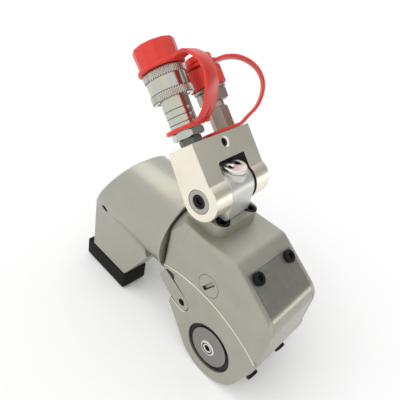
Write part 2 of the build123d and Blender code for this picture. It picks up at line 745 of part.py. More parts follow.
with BuildPart() as housing:
    slab(head_face, STEP_DEPTH - half, half - STEP_DEPTH)
    head_edges = [
        edge
        for edge in housing.edges()
        if abs(abs(edge.center().Y) - half + STEP_DEPTH) < 0.01 and edge.center().X > SHOULDER_X + 1
    ]
    fillet(head_edges, radius=EDGE_FILLET)
    add(proud_zone.part)
    add(rear_cone.part, mode=Mode.SUBTRACT)
    add(rear_cone_top.part, mode=Mode.SUBTRACT)
    # Neck and splined barrel
    turned(
        rod_plane,
        rod_axis,
        (SHOULDER_X + 2, 0),
        (SHOULDER_X + 2, BARREL_NECK_R),
        (BARREL_END_X, BARREL_NECK_R),
        (BARREL_END_X, 0),
    )
    with BuildSketch(Plane(origin=(SHOULDER_X - NECK_LENGTH, 0, ROD_Z), x_dir=(0, -1, 0), z_dir=(-1, 0, 0))):
        add(barrel_face)
    extrude(amount=SHOULDER_X - NECK_LENGTH - BARREL_END_X)
    # Cylinder bore, cap seat, rod way, seal groove and gland seat
    turned(
        rod_plane,
        rod_axis,
        (-10, 0),
        (-10, ROD_R + RUN_GAP),
        (GLAND_X + 6, ROD_R + RUN_GAP),
        (GLAND_X + 6, GLAND_R),
        (GLAND_X - GLAND_T, GLAND_R),
        (GLAND_X - GLAND_T, ROD_R + RUN_GAP),
        (CHAMBER_FRONT_X + 1 + ROD_SEAL_T, ROD_R + RUN_GAP),
        (CHAMBER_FRONT_X + 1 + ROD_SEAL_T, ROD_SEAL_R),
        (CHAMBER_FRONT_X + 1, ROD_SEAL_R),
        (CHAMBER_FRONT_X + 1, ROD_R + RUN_GAP),
        (CHAMBER_FRONT_X, ROD_R + RUN_GAP),
        (CHAMBER_FRONT_X, BORE_R),
        (cap_seat_x, BORE_R),
        (cap_seat_x, CAP_FLANGE_R),
        (BARREL_END_X - 1, CAP_FLANGE_R),
        (BARREL_END_X - 1, 0),
        mode=Mode.SUBTRACT,
    )
    # Room for the crank and the reaction pawl
    slab(cavity_face, -CAVITY_HALF, CAVITY_HALF, mode=Mode.SUBTRACT)
    slab(pawl_slot_face, -PAWL_SLOT_HALF, PAWL_SLOT_HALF, mode=Mode.SUBTRACT)
    # Drive bore and reaction pawl pin bore
    with BuildSketch(side_plane(half + 1)):
        Circle(BUSH_R)
        with Locations(PAWL_PIVOT):
            Circle(PAWL_PIN_R + RUN_GAP)
    extrude(amount=HEAD_WIDTH + 2, mode=Mode.SUBTRACT)
    with BuildSketch(Plane(origin=(PAWL_SPRING_X, 0, PAWL_PIVOT[1]), x_dir=(1, 0, 0), z_dir=(0, 0, 1))):
        Circle(SPRING_POCKET_R)
    extrude(amount=PAWL_SPRING_TOP_Z - PAWL_PIVOT[1], mode=Mode.SUBTRACT)
    # Rod pin plug hole
    with BuildSketch(side_plane(-CAVITY_HALF + 1)):
        with Locations((PLUG_X, PLUG_Z)):
            Circle(PLUG_SHANK_R + RUN_GAP)
    extrude(amount=half, mode=Mode.SUBTRACT)
    with BuildSketch(side_plane(-half + STEP_DEPTH + PLUG_FLANGE_T)):
        with Locations((PLUG_X, PLUG_Z)):
            Circle(PLUG_R + RUN_GAP)
    extrude(amount=half, mode=Mode.SUBTRACT)
    # Lever recesses and the notches that the lever tabs swing in
    slab(lever_room_face, -half - 1, -half + LEVER_RECESS, mode=Mode.SUBTRACT)
    slab(lever_room_face, half - LEVER_RECESS, half + 1, mode=Mode.SUBTRACT)
    with Locations((NOTCH_X, 0, NOTCH_Z)):
        for side in (-1, 1):
            with Locations((0, side * NOTCH_IN, 0)):
                Box(
                    30,
                    20,
                    40,
                    align=(Align.MAX, Align.MIN if side > 0 else Align.MAX, Align.MAX),
                    mode=Mode.SUBTRACT,
                )
    # Front cover seat and window
    with BuildSketch(side_plane(COVER_HALF + COVER_GAP)):
        add(head_face)
        add(head_inner, mode=Mode.SUBTRACT)
        with BuildLine():
            Polyline(
                (COVER_TOP_X - COVER_GAP, TOP_Z - (COVER_TOP_X - COVER_GAP - SLOPE_TOP_X) * slope),
                (
                    COVER_TOP_X - COVER_GAP - 10 * slope_out[0],
                    TOP_Z - (COVER_TOP_X - COVER_GAP - SLOPE_TOP_X) * slope - 10 * slope_out[1],
                ),
                (0, 40),
                (0, COVER_LOW_Z - COVER_GAP),
                (60, COVER_LOW_Z - COVER_GAP),
                (60, 110),
                (
                    COVER_TOP_X - COVER_GAP + 10 * slope_out[0],
                    TOP_Z - (COVER_TOP_X - COVER_GAP - SLOPE_TOP_X) * slope + 10 * slope_out[1],
                ),
                close=True,
            )
        make_face(mode=Mode.INTERSECT)
    extrude(amount=2 * (COVER_HALF + COVER_GAP), mode=Mode.SUBTRACT)
    with BuildSketch(side_plane(FRONT_WINDOW_HALF)):
        Polygon(
            (FRONT_WINDOW_X, FRONT_WINDOW_LOW_Z),
            (FRONT_X + 1, FRONT_WINDOW_LOW_Z),
            (FRONT_X + 1, FRONT_WINDOW_TOP_Z),
            (FRONT_WINDOW_X, FRONT_WINDOW_TOP_Z),
            align=None,
        )
    extrude(amount=2 * FRONT_WINDOW_HALF, mode=Mode.SUBTRACT)
    # Screw holes
    with BuildSketch(*[plane.offset(-COVER_T - COVER_SCREW_GRIP) for plane in cover_screw_planes]):
        Circle(SCREW_SHANK_R + SCREW_HOLE_GAP)
    extrude(amount=COVER_T + COVER_SCREW_GRIP, mode=Mode.SUBTRACT)
    with BuildSketch(Plane.XY.offset(TOP_Z)):
        with Locations(*flange_screw_spots):
            Circle(SCREW_SHANK_R + SCREW_HOLE_GAP)
    extrude(amount=-FLANGE_SCREW_GRIP - 1, mode=Mode.SUBTRACT)
    # Oil ways to the two ends of the cylinder
    with BuildSketch(Plane.XY.offset(TOP_Z)):
        with Locations((OIL_FRONT_X, 0)):
            Circle(OIL_WAY_R)
    extrude(amount=-(TOP_Z - ROD_Z), mode=Mode.SUBTRACT)
    with BuildSketch(Plane.XY.offset(TOP_Z)):
        with Locations((OIL_REAR_X, 0)):
            Circle(OIL_WAY_R)
    extrude(amount=-(TOP_Z - OIL_WAY_Z), mode=Mode.SUBTRACT)
    with BuildSketch(Plane(origin=(OIL_REAR_X, 0, OIL_WAY_Z), x_dir=(0, -1, 0), z_dir=(-1, 0, 0))):
        Circle(OIL_WAY_R)
    extrude(amount=OIL_REAR_X - cap_seat_x, mode=Mode.SUBTRACT)
    with BuildSketch(Plane.XY.offset(OIL_WAY_Z)):
        with Locations((cap_front_x + 0.6, 0)):
            Circle(OIL_PORT_R)
    extrude(amount=-(OIL_WAY_Z - ROD_Z), mode=Mode.SUBTRACT)

with BuildPart() as front_cover:
    with BuildSketch(side_plane(COVER_HALF)):
        add(head_face)
        add(head_inner, mode=Mode.SUBTRACT)
        with BuildLine():
            Polyline(
                (COVER_TOP_X, TOP_Z - (COVER_TOP_X - SLOPE_TOP_X) * slope),
                (
                    COVER_TOP_X - 10 * slope_out[0],
                    TOP_Z - (COVER_TOP_X - SLOPE_TOP_X) * slope - 10 * slope_out[1],
                ),
                (0, 40),
                (0, COVER_LOW_Z),
                (60, COVER_LOW_Z),
                (60, 110),
                (
                    COVER_TOP_X + 10 * slope_out[0],
                    TOP_Z - (COVER_TOP_X - SLOPE_TOP_X) * slope + 10 * slope_out[1],
                ),
                close=True,
            )
        make_face(mode=Mode.INTERSECT)
    extrude(amount=2 * COVER_HALF)
    with BuildSketch(*[plane.offset(-COVER_T - 1) for plane in cover_screw_planes]):
        Circle(SCREW_SHANK_R + SCREW_HOLE_GAP)
    extrude(amount=COVER_T + 2, mode=Mode.SUBTRACT)

with BuildPart() as cover_screws:
    with BuildSketch(*[plane.offset(-COVER_T - COVER_SCREW_GRIP + 0.3) for plane in cover_screw_planes]):
        Circle(SCREW_SHANK_R)
    extrude(amount=COVER_T + COVER_SCREW_GRIP)
    with BuildSketch(*cover_screw_planes):
        Circle(SCREW_HEAD_R)
    extrude(amount=SCREW_HEAD_H, taper=8)
    with BuildSketch(*[plane.offset(SCREW_HEAD_H + 1) for plane in cover_screw_planes]):
        hexagon(SCREW_HEX)
    extrude(amount=-SCREW_HEAD_H, mode=Mode.SUBTRACT)

with BuildPart() as rod_pin_plug:
    plug_face_y = -half + STEP_DEPTH
    with BuildSketch(side_plane(plug_face_y + PLUG_FLANGE_T)):
        with Locations((PLUG_X, PLUG_Z)):
            Circle(PLUG_R)
    extrude(amount=PLUG_FLANGE_T)
    with BuildSketch(side_plane(-CAVITY_HALF - 0.5)):
        with Locations((PLUG_X, PLUG_Z)):
            Circle(PLUG_SHANK_R)
    extrude(amount=-plug_face_y - CAVITY_HALF - 1)
    with BuildSketch(side_plane(plug_face_y + PLUG_SLOT_DEPTH)):
        with Locations((PLUG_X, PLUG_Z)):
            Rectangle(PLUG_SLOT_LENGTH, PLUG_SLOT, rotation=PLUG_SLOT_TURN)
    extrude(amount=PLUG_SLOT_DEPTH + 1, mode=Mode.SUBTRACT)

# Cylinder

with BuildPart() as cylinder_end_cap:
    groove_front = cap_seat_x + 9.0
    turned(
        rod_plane,
        rod_axis,
        (cap_front_x - 2.2, 0),
        (cap_front_x, BORE_R - 4),
        (cap_front_x - 1.5, BORE_R - CAP_FIT),
        (groove_front, BORE_R - CAP_FIT),
        (groove_front, BORE_R - SEAL_DEPTH),
        (groove_front - SEAL_T, BORE_R - SEAL_DEPTH),
        (groove_front - SEAL_T, BORE_R - CAP_FIT),
        (cap_seat_x, BORE_R - CAP_FIT),
        (cap_seat_x, CAP_FLANGE_R - CAP_FIT),
        (BARREL_END_X, CAP_FLANGE_R - CAP_FIT),
        (BARREL_END_X, SPIGOT_R),
        (SPIGOT_END_X + 1, SPIGOT_R),
        (SPIGOT_END_X, SPIGOT_R - 1),
        (SPIGOT_END_X, 0),
    )
    with BuildSketch(Plane(origin=(BARREL_END_X, 0, ROD_Z), x_dir=(0, -1, 0), z_dir=(-1, 0, 0))):
        with PolarLocations(CAP_SPANNER_AT, 2):
            Circle(CAP_SPANNER_R)
    extrude(amount=-4, mode=Mode.SUBTRACT)

with BuildPart() as end_cap_seal:
    turned(
        rod_plane,
        rod_axis,
        (cap_seat_x + 9.0, BORE_R - SEAL_DEPTH),
        (cap_seat_x + 9.0, BORE_R),
        (cap_seat_x + 9.0 - SEAL_T, BORE_R),
        (cap_seat_x + 9.0 - SEAL_T, BORE_R - SEAL_DEPTH),
    )

with BuildPart() as rod_gland:
    turned(
        rod_plane,
        rod_axis,
        (GLAND_X, ROD_R + RUN_GAP),
        (GLAND_X, GLAND_R),
        (GLAND_X - GLAND_T, GLAND_R),
        (GLAND_X - GLAND_T, ROD_R + RUN_GAP),
    )

with BuildPart() as rod_seal:
    turned(
        rod_plane,
        rod_axis,
        (CHAMBER_FRONT_X + 1 + ROD_SEAL_T, ROD_R + RUN_GAP / 2),
        (CHAMBER_FRONT_X + 1 + ROD_SEAL_T, ROD_SEAL_R),
        (CHAMBER_FRONT_X + 1, ROD_SEAL_R),
        (CHAMBER_FRONT_X + 1, ROD_R + RUN_GAP / 2),
    )

with BuildPart() as piston:
    seal_front = piston_front_x - 5.0
    turned(
        rod_plane,
        rod_axis,
        (piston_front_x, ROD_SPIGOT_R),
        (piston_front_x, BORE_R - 1),
        (piston_front_x - 1, BORE_R - RUN_GAP),
        (seal_front, BORE_R - RUN_GAP),
        (seal_front, BORE_R - SEAL_DEPTH),
        (seal_front - SEAL_T, BORE_R - SEAL_DEPTH),
        (seal_front - SEAL_T, BORE_R - RUN_GAP),
        (piston_back_x + 1, BORE_R - RUN_GAP),
        (piston_back_x, BORE_R - 1),
        (piston_back_x, PISTON_NUT_POCKET_R),
        (piston_back_x + PISTON_NUT_T + 0.5, PISTON_NUT_POCKET_R),
        (piston_back_x + PISTON_NUT_T + 0.5, ROD_SPIGOT_R),
    )

with BuildPart() as piston_seal:
    turned(
        rod_plane,
        rod_axis,
        (piston_front_x - 5.0, BORE_R - SEAL_DEPTH),
        (piston_front_x - 5.0, BORE_R - RUN_GAP / 2),
        (piston_front_x - 5.0 - SEAL_T, BORE_R - RUN_GAP / 2),
        (piston_front_x - 5.0 - SEAL_T, BORE_R - SEAL_DEPTH),
    )

with BuildPart() as piston_nut:
    nut_x = piston_back_x + PISTON_NUT_T + 0.5
    with BuildSketch(Plane(origin=(nut_x, 0, ROD_Z), x_dir=(0, -1, 0), z_dir=(-1, 0, 0))):
        hexagon(PISTON_NUT_AF)
        Circle(ROD_SPIGOT_R, mode=Mode.SUBTRACT)
    extrude(amount=PISTON_NUT_T)

with BuildPart() as piston_rod:
    turned(
        rod_plane,
        rod_axis,
        (rod_pin_x, 0),
        (rod_pin_x, ROD_R),
        (piston_front_x, ROD_R),
        (piston_front_x, ROD_SPIGOT_R),
        (piston_back_x, ROD_SPIGOT_R),
        (piston_back_x, 0),
    )
    with BuildSketch(side_plane(ROD_R)):
        with Locations((rod_pin_x, ROD_Z)):
            Circle(ROD_R)
    extrude(amount=2 * ROD_R)
    turned(
        rod_plane,
        rod_axis,
        (rod_pin_x - 1, ROD_R),
        (rod_pin_x + 20, ROD_R),
        (rod_pin_x + 20, 2 * ROD_R),
        (rod_pin_x - 1, 2 * ROD_R),
        mode=Mode.SUBTRACT,
    )
    with BuildSketch(side_plane(ROD_R)):
        with Locations((rod_pin_x, ROD_Z)):
            Circle(ROD_PIN_R)
    extrude(amount=2 * ROD_R, mode=Mode.SUBTRACT)

with BuildPart() as rod_pin:
    with BuildSketch(side_plane(plate_out - 0.2)):
        with Locations((rod_pin_x, ROD_Z)):
            Circle(ROD_PIN_R)
    extrude(amount=2 * plate_out - 0.4)

# Crank, pawls and ratchet

with BuildPart() as drive_plates:
    for low_y, high_y in ((-plate_out, -PLATE_IN), (PLATE_IN, plate_out)):
        slab(plate_face, low_y, high_y)
    with BuildSketch(side_plane(plate_out)):
        Circle(RATCHET_HUB_R + RUN_GAP)
        add(pin_slot_face)
        for turn in (-DOWEL_SPREAD, DOWEL_SPREAD):
            with Locations(polar(DOWEL_AT_R, crank_polar + CARRIER_TURN + turn)):
                Circle(DOWEL_R)
    extrude(amount=2 * plate_out, mode=Mode.SUBTRACT)

with BuildPart() as pawl_carrier:
    with BuildSketch(side_plane(CARRIER_HALF)):
        Polygon(
            (0, 0),
            polar(70, crank_polar + CARRIER_TURN - CARRIER_SPREAD),
            polar(80, crank_polar + CARRIER_TURN),
            polar(70, crank_polar + CARRIER_TURN + CARRIER_SPREAD),
            align=None,
        )
        Circle(carrier_top_r, mode=Mode.INTERSECT)
        add(plate_face, mode=Mode.INTERSECT)
        Circle(CARRIER_LOW_R, mode=Mode.SUBTRACT)
        pocket_at_r = (CARRIER_LOW_R + PAWL_TOP_R + PAWL_LIFT) / 2
        with Locations(polar(pocket_at_r, crank_polar + CARRIER_TURN)):
            Rectangle(
                PAWL_TOP_R + PAWL_LIFT - CARRIER_LOW_R + 2.6,
                PAWL_WIDTH + 2 * PAWL_SIDE_GAP,
                rotation=crank_polar + CARRIER_TURN,
                mode=Mode.SUBTRACT,
            )
        for turn in (-DOWEL_SPREAD, DOWEL_SPREAD):
            with Locations(polar(DOWEL_AT_R, crank_polar + CARRIER_TURN + turn)):
                Circle(DOWEL_R, mode=Mode.SUBTRACT)
    extrude(amount=2 * CARRIER_HALF)

with BuildPart() as carrier_dowels:
    with BuildSketch(side_plane(plate_out - 0.1)):
        for turn in (-DOWEL_SPREAD, DOWEL_SPREAD):
            with Locations(polar(DOWEL_AT_R, crank_polar + CARRIER_TURN + turn)):
                Circle(DOWEL_R)
    extrude(amount=2 * plate_out - 0.2)

pawl_polar = crank_polar + CARRIER_TURN
pawl_way = Vector(cos(radians(pawl_polar)), 0, sin(radians(pawl_polar)))
spring_seat_r = PAWL_TOP_R - 4.0
spring_top_r = PAWL_TOP_R + PAWL_LIFT + 1.1
with BuildPart() as drive_pawl:
    with BuildSketch(side_plane(PAWL_HALF)):
        with Locations(polar((20 + PAWL_TOP_R) / 2, pawl_polar)):
            Rectangle(PAWL_TOP_R - 20, PAWL_WIDTH, rotation=pawl_polar)
        add(wheel_clear, mode=Mode.SUBTRACT)
    extrude(amount=2 * PAWL_HALF)
    for side in (-1, 1):
        seat = pawl_way * spring_seat_r + Vector(0, side * SPRING_Y, 0)
        with BuildSketch(Plane(origin=seat, x_dir=(0, 1, 0), z_dir=pawl_way)):
            Circle(SPRING_POCKET_R)
        extrude(amount=10, mode=Mode.SUBTRACT)

with BuildPart() as pawl_springs:
    for side in (-1, 1):
        coil(
            pawl_way * spring_seat_r + Vector(0, side * SPRING_Y, 0),
            pawl_way,
            (0, 1, 0),
            spring_top_r - spring_seat_r,
        )

with BuildPart() as ratchet:
    slab(wheel_face, -RATCHET_HALF, RATCHET_HALF)
    turned(Plane.XY, drive_axis, *tube(RATCHET_HUB_R, 10, -HUB_HALF, HUB_HALF))
    turned(Plane.XY, drive_axis, *tube(JOURNAL_R, 10, -JOURNAL_END, JOURNAL_END))
    slab(drive_bore_face, -JOURNAL_END - 1, JOURNAL_END + 1, mode=Mode.SUBTRACT)

with BuildPart() as drive_bushes:
    for side in (-1, 1):
        turned(Plane.XY, drive_axis, *tube(BUSH_R, JOURNAL_R + RUN_GAP, side * BUSH_IN, side * BUSH_OUT))

with BuildPart() as bush_seals:
    for side in (-1, 1):
        turned(
            Plane.XY,
            drive_axis,
            *tube(BUSH_R, DRIVE_HEAD_R + 0.3, side * BUSH_OUT, side * (BUSH_OUT + SEAL_RING_T)),
        )

with BuildPart() as square_drive:
    slab(drive_spline_face, -JOURNAL_END, drive_back_y)
    turned(
        Plane.XY,
        drive_axis,
        (0, drive_back_y),
        (DRIVE_HEAD_R, drive_back_y),
        (DRIVE_HEAD_R, half - 0.8),
        (DRIVE_HEAD_R - 0.8, half),
        (0, half),
    )
    turned(
        Plane.XY,
        drive_axis,
        (0, -JOURNAL_END),
        (DRIVE_TAIL_R, -JOURNAL_END),
        (DRIVE_TAIL_R, -tail_end_y + 0.5),
        (DRIVE_TAIL_R - 0.5, -tail_end_y),
        (0, -tail_end_y),
    )
    with BuildSketch(side_plane(half + SQUARE_LENGTH)):
        RectangleRounded(SQUARE, SQUARE, SQUARE_CORNER)
    extrude(amount=SQUARE_LENGTH)
    end_edges = square_drive.faces().sort_by(Axis.Y)[-1].edges()
    chamfer(end_edges, length=SQUARE_CHAMFER)
    detent_top = (0, half + SQUARE_LENGTH / 2, SQUARE / 2)
    with BuildSketch(Plane(origin=detent_top, x_dir=(1, 0, 0), z_dir=(0, 0, 1))):
        Circle(DETENT_R)
    extrude(amount=-3, mode=Mode.SUBTRACT)

with BuildPart() as drive_retainer:
    button_seat_y = half - RETAINER_LIP
    turned(
        Plane.XY,
        drive_axis,
        (DRIVE_TAIL_R + RUN_GAP, -retainer_in_y),
        (DRIVE_HEAD_R, -retainer_in_y),
        (DRIVE_HEAD_R, -half + 0.8),
        (DRIVE_HEAD_R - 0.8, -half),
        (BUTTON_R + RUN_GAP, -half),
        (BUTTON_R + RUN_GAP, -button_seat_y),
        (BUTTON_FLANGE_R + RUN_GAP, -button_seat_y),
        (BUTTON_FLANGE_R + RUN_GAP, -tail_end_y - 0.1),
        (DRIVE_TAIL_R + RUN_GAP, -tail_end_y - 0.1),
    )

with BuildPart() as retainer_button:
    turned(
        Plane.XY,
        drive_axis,
        (0, -half - BUTTON_PROUD),
        (BUTTON_R - 0.6, -half - BUTTON_PROUD),
        (BUTTON_R, -half - BUTTON_PROUD + 0.6),
        (BUTTON_R, -half + RETAINER_LIP + 0.05),
        (BUTTON_FLANGE_R, -half + RETAINER_LIP + 0.05),
        (BUTTON_FLANGE_R, -half - BUTTON_PROUD + BUTTON_T),
        (0, -half - BUTTON_PROUD + BUTTON_T),
    )
    with BuildSketch(side_plane(-half - BUTTON_PROUD + 1.6)):
        hexagon(BUTTON_HEX)
    extrude(amount=5, mode=Mode.SUBTRACT)

# The pawl is drawn against the wheel and kept here lifted clear of it
with BuildPart() as reaction_pawl:
    with BuildSketch(side_plane(PAWL_HALF)):
        with Locations(spun((0, 0), PAWL_PIVOT, PAWL_LIFTED)):
            add(pawl_outline.sketch, rotation=PAWL_LIFTED)
    extrude(amount=2 * PAWL_HALF)
    with BuildSketch(Plane(origin=(PAWL_SPRING_X, 0, PAWL_SPRING_SEAT_Z), x_dir=(1, 0, 0), z_dir=(0, 0, 1))):
        Circle(SPRING_POCKET_R)
    extrude(amount=10, mode=Mode.SUBTRACT)

with BuildPart() as reaction_pawl_spring:
    coil(
        Vector(PAWL_SPRING_X, 0, PAWL_SPRING_SEAT_Z),
        Vector(0, 0, 1),
        (1, 0, 0),
        PAWL_SPRING_TOP_Z - PAWL_SPRING_SEAT_Z,
    )

with BuildPart() as reaction_pawl_pin:
    with BuildSketch(side_plane(lever_in)):
        with Locations(PAWL_PIVOT):
            Circle(PAWL_PIN_R)
    extrude(amount=2 * lever_in)
    with BuildSketch(side_plane(lever_in + LEVER_T - 0.8)):
        with Locations(PAWL_PIVOT):
            Circle(LEVER_END_R)
    extrude(amount=2 * (lever_in + LEVER_T - 0.8))
    for y in (-lever_in - 0.6, lever_in + LEVER_T):
        with BuildSketch(side_plane(y)):
            with Locations(PAWL_PIVOT):
                hexagon(LEVER_HEX)
        extrude(amount=LEVER_T - 0.6, mode=Mode.SUBTRACT)

with BuildPart() as near_lever:
    slab(lever_face, -lever_in - LEVER_T, -lever_in)
    with BuildSketch(side_plane(-lever_in - LEVER_T + LEVER_TAB)):
        Polygon(*LEVER_TAB_CORNERS, align=None)
    extrude(amount=LEVER_TAB)
    with BuildSketch(side_plane(0)):
        with Locations(PAWL_PIVOT):
            Circle(LEVER_END_R)
    extrude(amount=half + 1, mode=Mode.SUBTRACT)

with BuildPart() as far_lever:
    slab(lever_face, lever_in, lever_in + LEVER_T)
    with BuildSketch(side_plane(lever_in + LEVER_T)):
        Polygon(*LEVER_TAB_CORNERS, align=None)
    extrude(amount=LEVER_TAB)
    with BuildSketch(side_plane(half + 1)):
        with Locations(PAWL_PIVOT):
            Circle(LEVER_END_R)
    extrude(amount=half + 1, mode=Mode.SUBTRACT)

# Reaction arm

with BuildPart() as reaction_arm:
    turned(
        rod_plane,
        rod_axis,
        (ARM_FRONT_X, 0),
        (ARM_FRONT_X, ARM_R + ARM_FLARE - 0.8),
        (ARM_FRONT_X - 0.8, ARM_R + ARM_FLARE),
        (ARM_FRONT_X - 5, ARM_R),
        (ARM_BACK_X, ARM_R),
        (ARM_BACK_X, 0),
    )
    with Locations(DOME_CENTRE):
        Sphere(DOME_R, mode=Mode.INTERSECT)
    with BuildSketch(side_plane(LEG_FAR_Y)):
        Polygon(*LEG_OUTLINE, align=None)
    extrude(amount=LEG_FAR_Y - LEG_NEAR_Y)
    with BuildSketch(Plane(origin=(RIB_FRONT_X, 0, 0), x_dir=(0, -1, 0), z_dir=(-1, 0, 0))):
        Polygon(*[(-y, z) for y, z in RIB_OUTLINE], align=None)
    extrude(amount=RIB_FRONT_X - RIB_BACK_X)
    foot_edges = [
        edge
        for edge in reaction_arm.edges()
        if abs(edge.center().Y - LEG_NEAR_Y) < 0.01 and edge.center().X < -85 and edge.center().Z < 35
    ]
    chamfer(foot_edges, length=1.0)
    x0, x1, y0, y1 = FOOT_SPIGOT
    with BuildSketch(Plane.XY.offset(FOOT_Z)):
        with Locations(((x0 + x1) / 2, (y0 + y1) / 2)):
            Rectangle(x1 - x0, y1 - y0)
    extrude(amount=-FOOT_SPIGOT_H)
    with BuildSketch(Plane(origin=(ARM_FRONT_X + 1, 0, ROD_Z), x_dir=(0, -1, 0), z_dir=(-1, 0, 0))):
        add(arm_bore_face)
    extrude(amount=ARM_FRONT_X + 1 - ARM_BORE_END_X, mode=Mode.SUBTRACT)
    with BuildSketch(Plane(origin=(ARM_FRONT_X, 0, ROD_Z), x_dir=(0, -1, 0), z_dir=(-1, 0, 0))):
        Circle(SPIGOT_R + SET_SCREW_END_GAP)
    extrude(amount=ARM_FRONT_X - ARM_SPIGOT_END_X, mode=Mode.SUBTRACT)
    with BuildSketch(set_screw_plane):
        Circle(SET_SCREW_R + SCREW_HOLE_GAP)
    extrude(amount=40, mode=Mode.SUBTRACT)

with BuildPart() as arm_set_screw:
    with BuildSketch(set_screw_plane):
        Circle(SET_SCREW_R)
    extrude(amount=SET_SCREW_LENGTH)
    with BuildSketch(set_screw_plane.offset(SET_SCREW_LENGTH - 4)):
        hexagon(SET_SCREW_HEX)
    extrude(amount=5, mode=Mode.SUBTRACT)

with BuildPart() as reaction_pad:
    with BuildSketch(Plane.XY.offset(PAD_LOW_Z)):
        with Locations(((PAD_FRONT_X + PAD_BACK_X) / 2, (PAD_NEAR_Y + PAD_FAR_Y) / 2)):
            RectangleRounded(PAD_FRONT_X - PAD_BACK_X, PAD_FAR_Y - PAD_NEAR_Y, PAD_EDGE)
    extrude(amount=FOOT_Z - PAD_LOW_Z)
    fillet(reaction_pad.faces().sort_by(Axis.Z)[0].edges(), radius=1.5)
    x0, x1, y0, y1 = FOOT_SPIGOT
    with BuildSketch(Plane.XY.offset(FOOT_Z)):
        with Locations(((x0 + x1) / 2, (y0 + y1) / 2)):
            Rectangle(x1 - x0 + 2 * PAD_FIT, y1 - y0 + 2 * PAD_FIT)
    extrude(amount=-FOOT_SPIGOT_H - PAD_FIT, mode=Mode.SUBTRACT)

# Swivel

with BuildPart() as swivel_flange:
    with BuildSketch(Plane.XY.offset(TOP_Z)):
        with Locations((FLANGE_X, 0)):
            RectangleRounded(FLANGE_LENGTH, FLANGE_WIDTH, FLANGE_CORNER)
        with Locations((SWIVEL_X, 0)):
            Circle(POST_R + RUN_GAP, mode=Mode.SUBTRACT)
        with Locations(*flange_screw_spots):
            Circle(SCREW_SHANK_R + SCREW_HOLE_GAP, mode=Mode.SUBTRACT)
    extrude(amount=FLANGE_T)
    with BuildSketch(Plane.XY.offset(flange_top_z)):
        with Locations(*flange_screw_spots):
            Circle(CAP_SCREW_R + 0.4)
    extrude(amount=-FLANGE_SCREW_SEAT, mode=Mode.SUBTRACT)
    with BuildSketch(Plane.XY.offset(TOP_Z)):
        with Locations((SWIVEL_X, 0)):
            Circle(POST_FOOT_R + RUN_GAP)
    extrude(amount=POST_FOOT_T, mode=Mode.SUBTRACT)

with BuildPart() as flange_screws:
    with BuildSketch(Plane.XY.offset(flange_top_z - FLANGE_SCREW_SEAT)):
        with Locations(*flange_screw_spots):
            Circle(CAP_SCREW_R)
    extrude(amount=CAP_SCREW_H)
    with BuildSketch(Plane.XY.offset(TOP_Z - FLANGE_SCREW_GRIP)):
        with Locations(*flange_screw_spots):
            Circle(SCREW_SHANK_R)
    extrude(amount=FLANGE_SCREW_GRIP + FLANGE_T - FLANGE_SCREW_SEAT)
    with BuildSketch(Plane.XY.offset(flange_top_z - FLANGE_SCREW_SEAT + CAP_SCREW_H)):
        with Locations(*flange_screw_spots):
            hexagon(SCREW_HEX)
    extrude(amount=-3, mode=Mode.SUBTRACT)

with BuildPart() as swivel_post:
    turned(
        swivel_plane,
        swivel_axis,
        (0, TOP_Z),
        (POST_FOOT_R, TOP_Z),
        (POST_FOOT_R, TOP_Z + POST_FOOT_T),
        (POST_R, TOP_Z + POST_FOOT_T),
        (POST_R, POST_TOP_Z),
        (POST_SPIGOT_R, POST_TOP_Z),
        (POST_SPIGOT_R, POST_TOP_Z + POST_SPIGOT_H),
        (0, POST_TOP_Z + POST_SPIGOT_H),
    )

with BuildPart() as swivel_cap:
    turned(
        swivel_plane,
        swivel_axis,
        (0, POST_TOP_Z + POST_SPIGOT_H),
        (POST_SPIGOT_R, POST_TOP_Z + POST_SPIGOT_H),
        (POST_SPIGOT_R, POST_TOP_Z),
        (POST_CAP_R, POST_TOP_Z),
        (POST_CAP_R, POST_TOP_Z + POST_CAP_T - 0.6),
        (POST_CAP_R - 0.6, POST_TOP_Z + POST_CAP_T),
        (0, POST_TOP_Z + POST_CAP_T),
    )
    cap_top = Plane(origin=(SWIVEL_X, 0, POST_TOP_Z + POST_CAP_T), x_dir=y_dir, z_dir=(0, 0, 1))
    with BuildSketch(cap_top):
        with PolarLocations(SPANNER_HOLE_AT, 2):
            Circle(SPANNER_HOLE_R)
    extrude(amount=-2, mode=Mode.SUBTRACT)

with BuildPart() as swivel_body:
    swivel_foot = TILT_Z - flange_top_z - SWIVEL_REST_GAP
    with BuildSketch(swivel_side(SWIVEL_HALF)):
        Circle(SWIVEL_BODY_R)
        with Locations((0, -swivel_foot / 2)):
            Rectangle(2 * SWIVEL_BODY_R, swivel_foot)
    extrude(amount=2 * SWIVEL_HALF)
    foot_edges = [
        edge
        for edge in swivel_body.edges().filter_by(Axis.Z)
        if abs(off_middle(edge) - SWIVEL_HALF) < 0.01 and edge.center().Z < TILT_Z - 1
    ]
    fillet(foot_edges, radius=2.5)
    turned(
        swivel_plane,
        swivel_axis,
        (0, TILT_Z),
        (SWIVEL_NECK_R, TILT_Z),
        (SWIVEL_NECK_R, POST_TOP_Z - 0.5),
        (SWIVEL_NECK_R - 0.5, POST_TOP_Z),
        (0, POST_TOP_Z),
    )
    turned(
        swivel_plane,
        swivel_axis,
        (0, TOP_Z),
        (POST_R + RUN_GAP, TOP_Z),
        (POST_R + RUN_GAP, POST_TOP_Z + 1),
        (0, POST_TOP_Z + 1),
        mode=Mode.SUBTRACT,
    )
    with BuildSketch(swivel_side(SWIVEL_HALF + 1)):
        Circle(TILT_PIN_R + RUN_GAP)
    extrude(amount=2 * SWIVEL_HALF + 2, mode=Mode.SUBTRACT)

# Manifold block

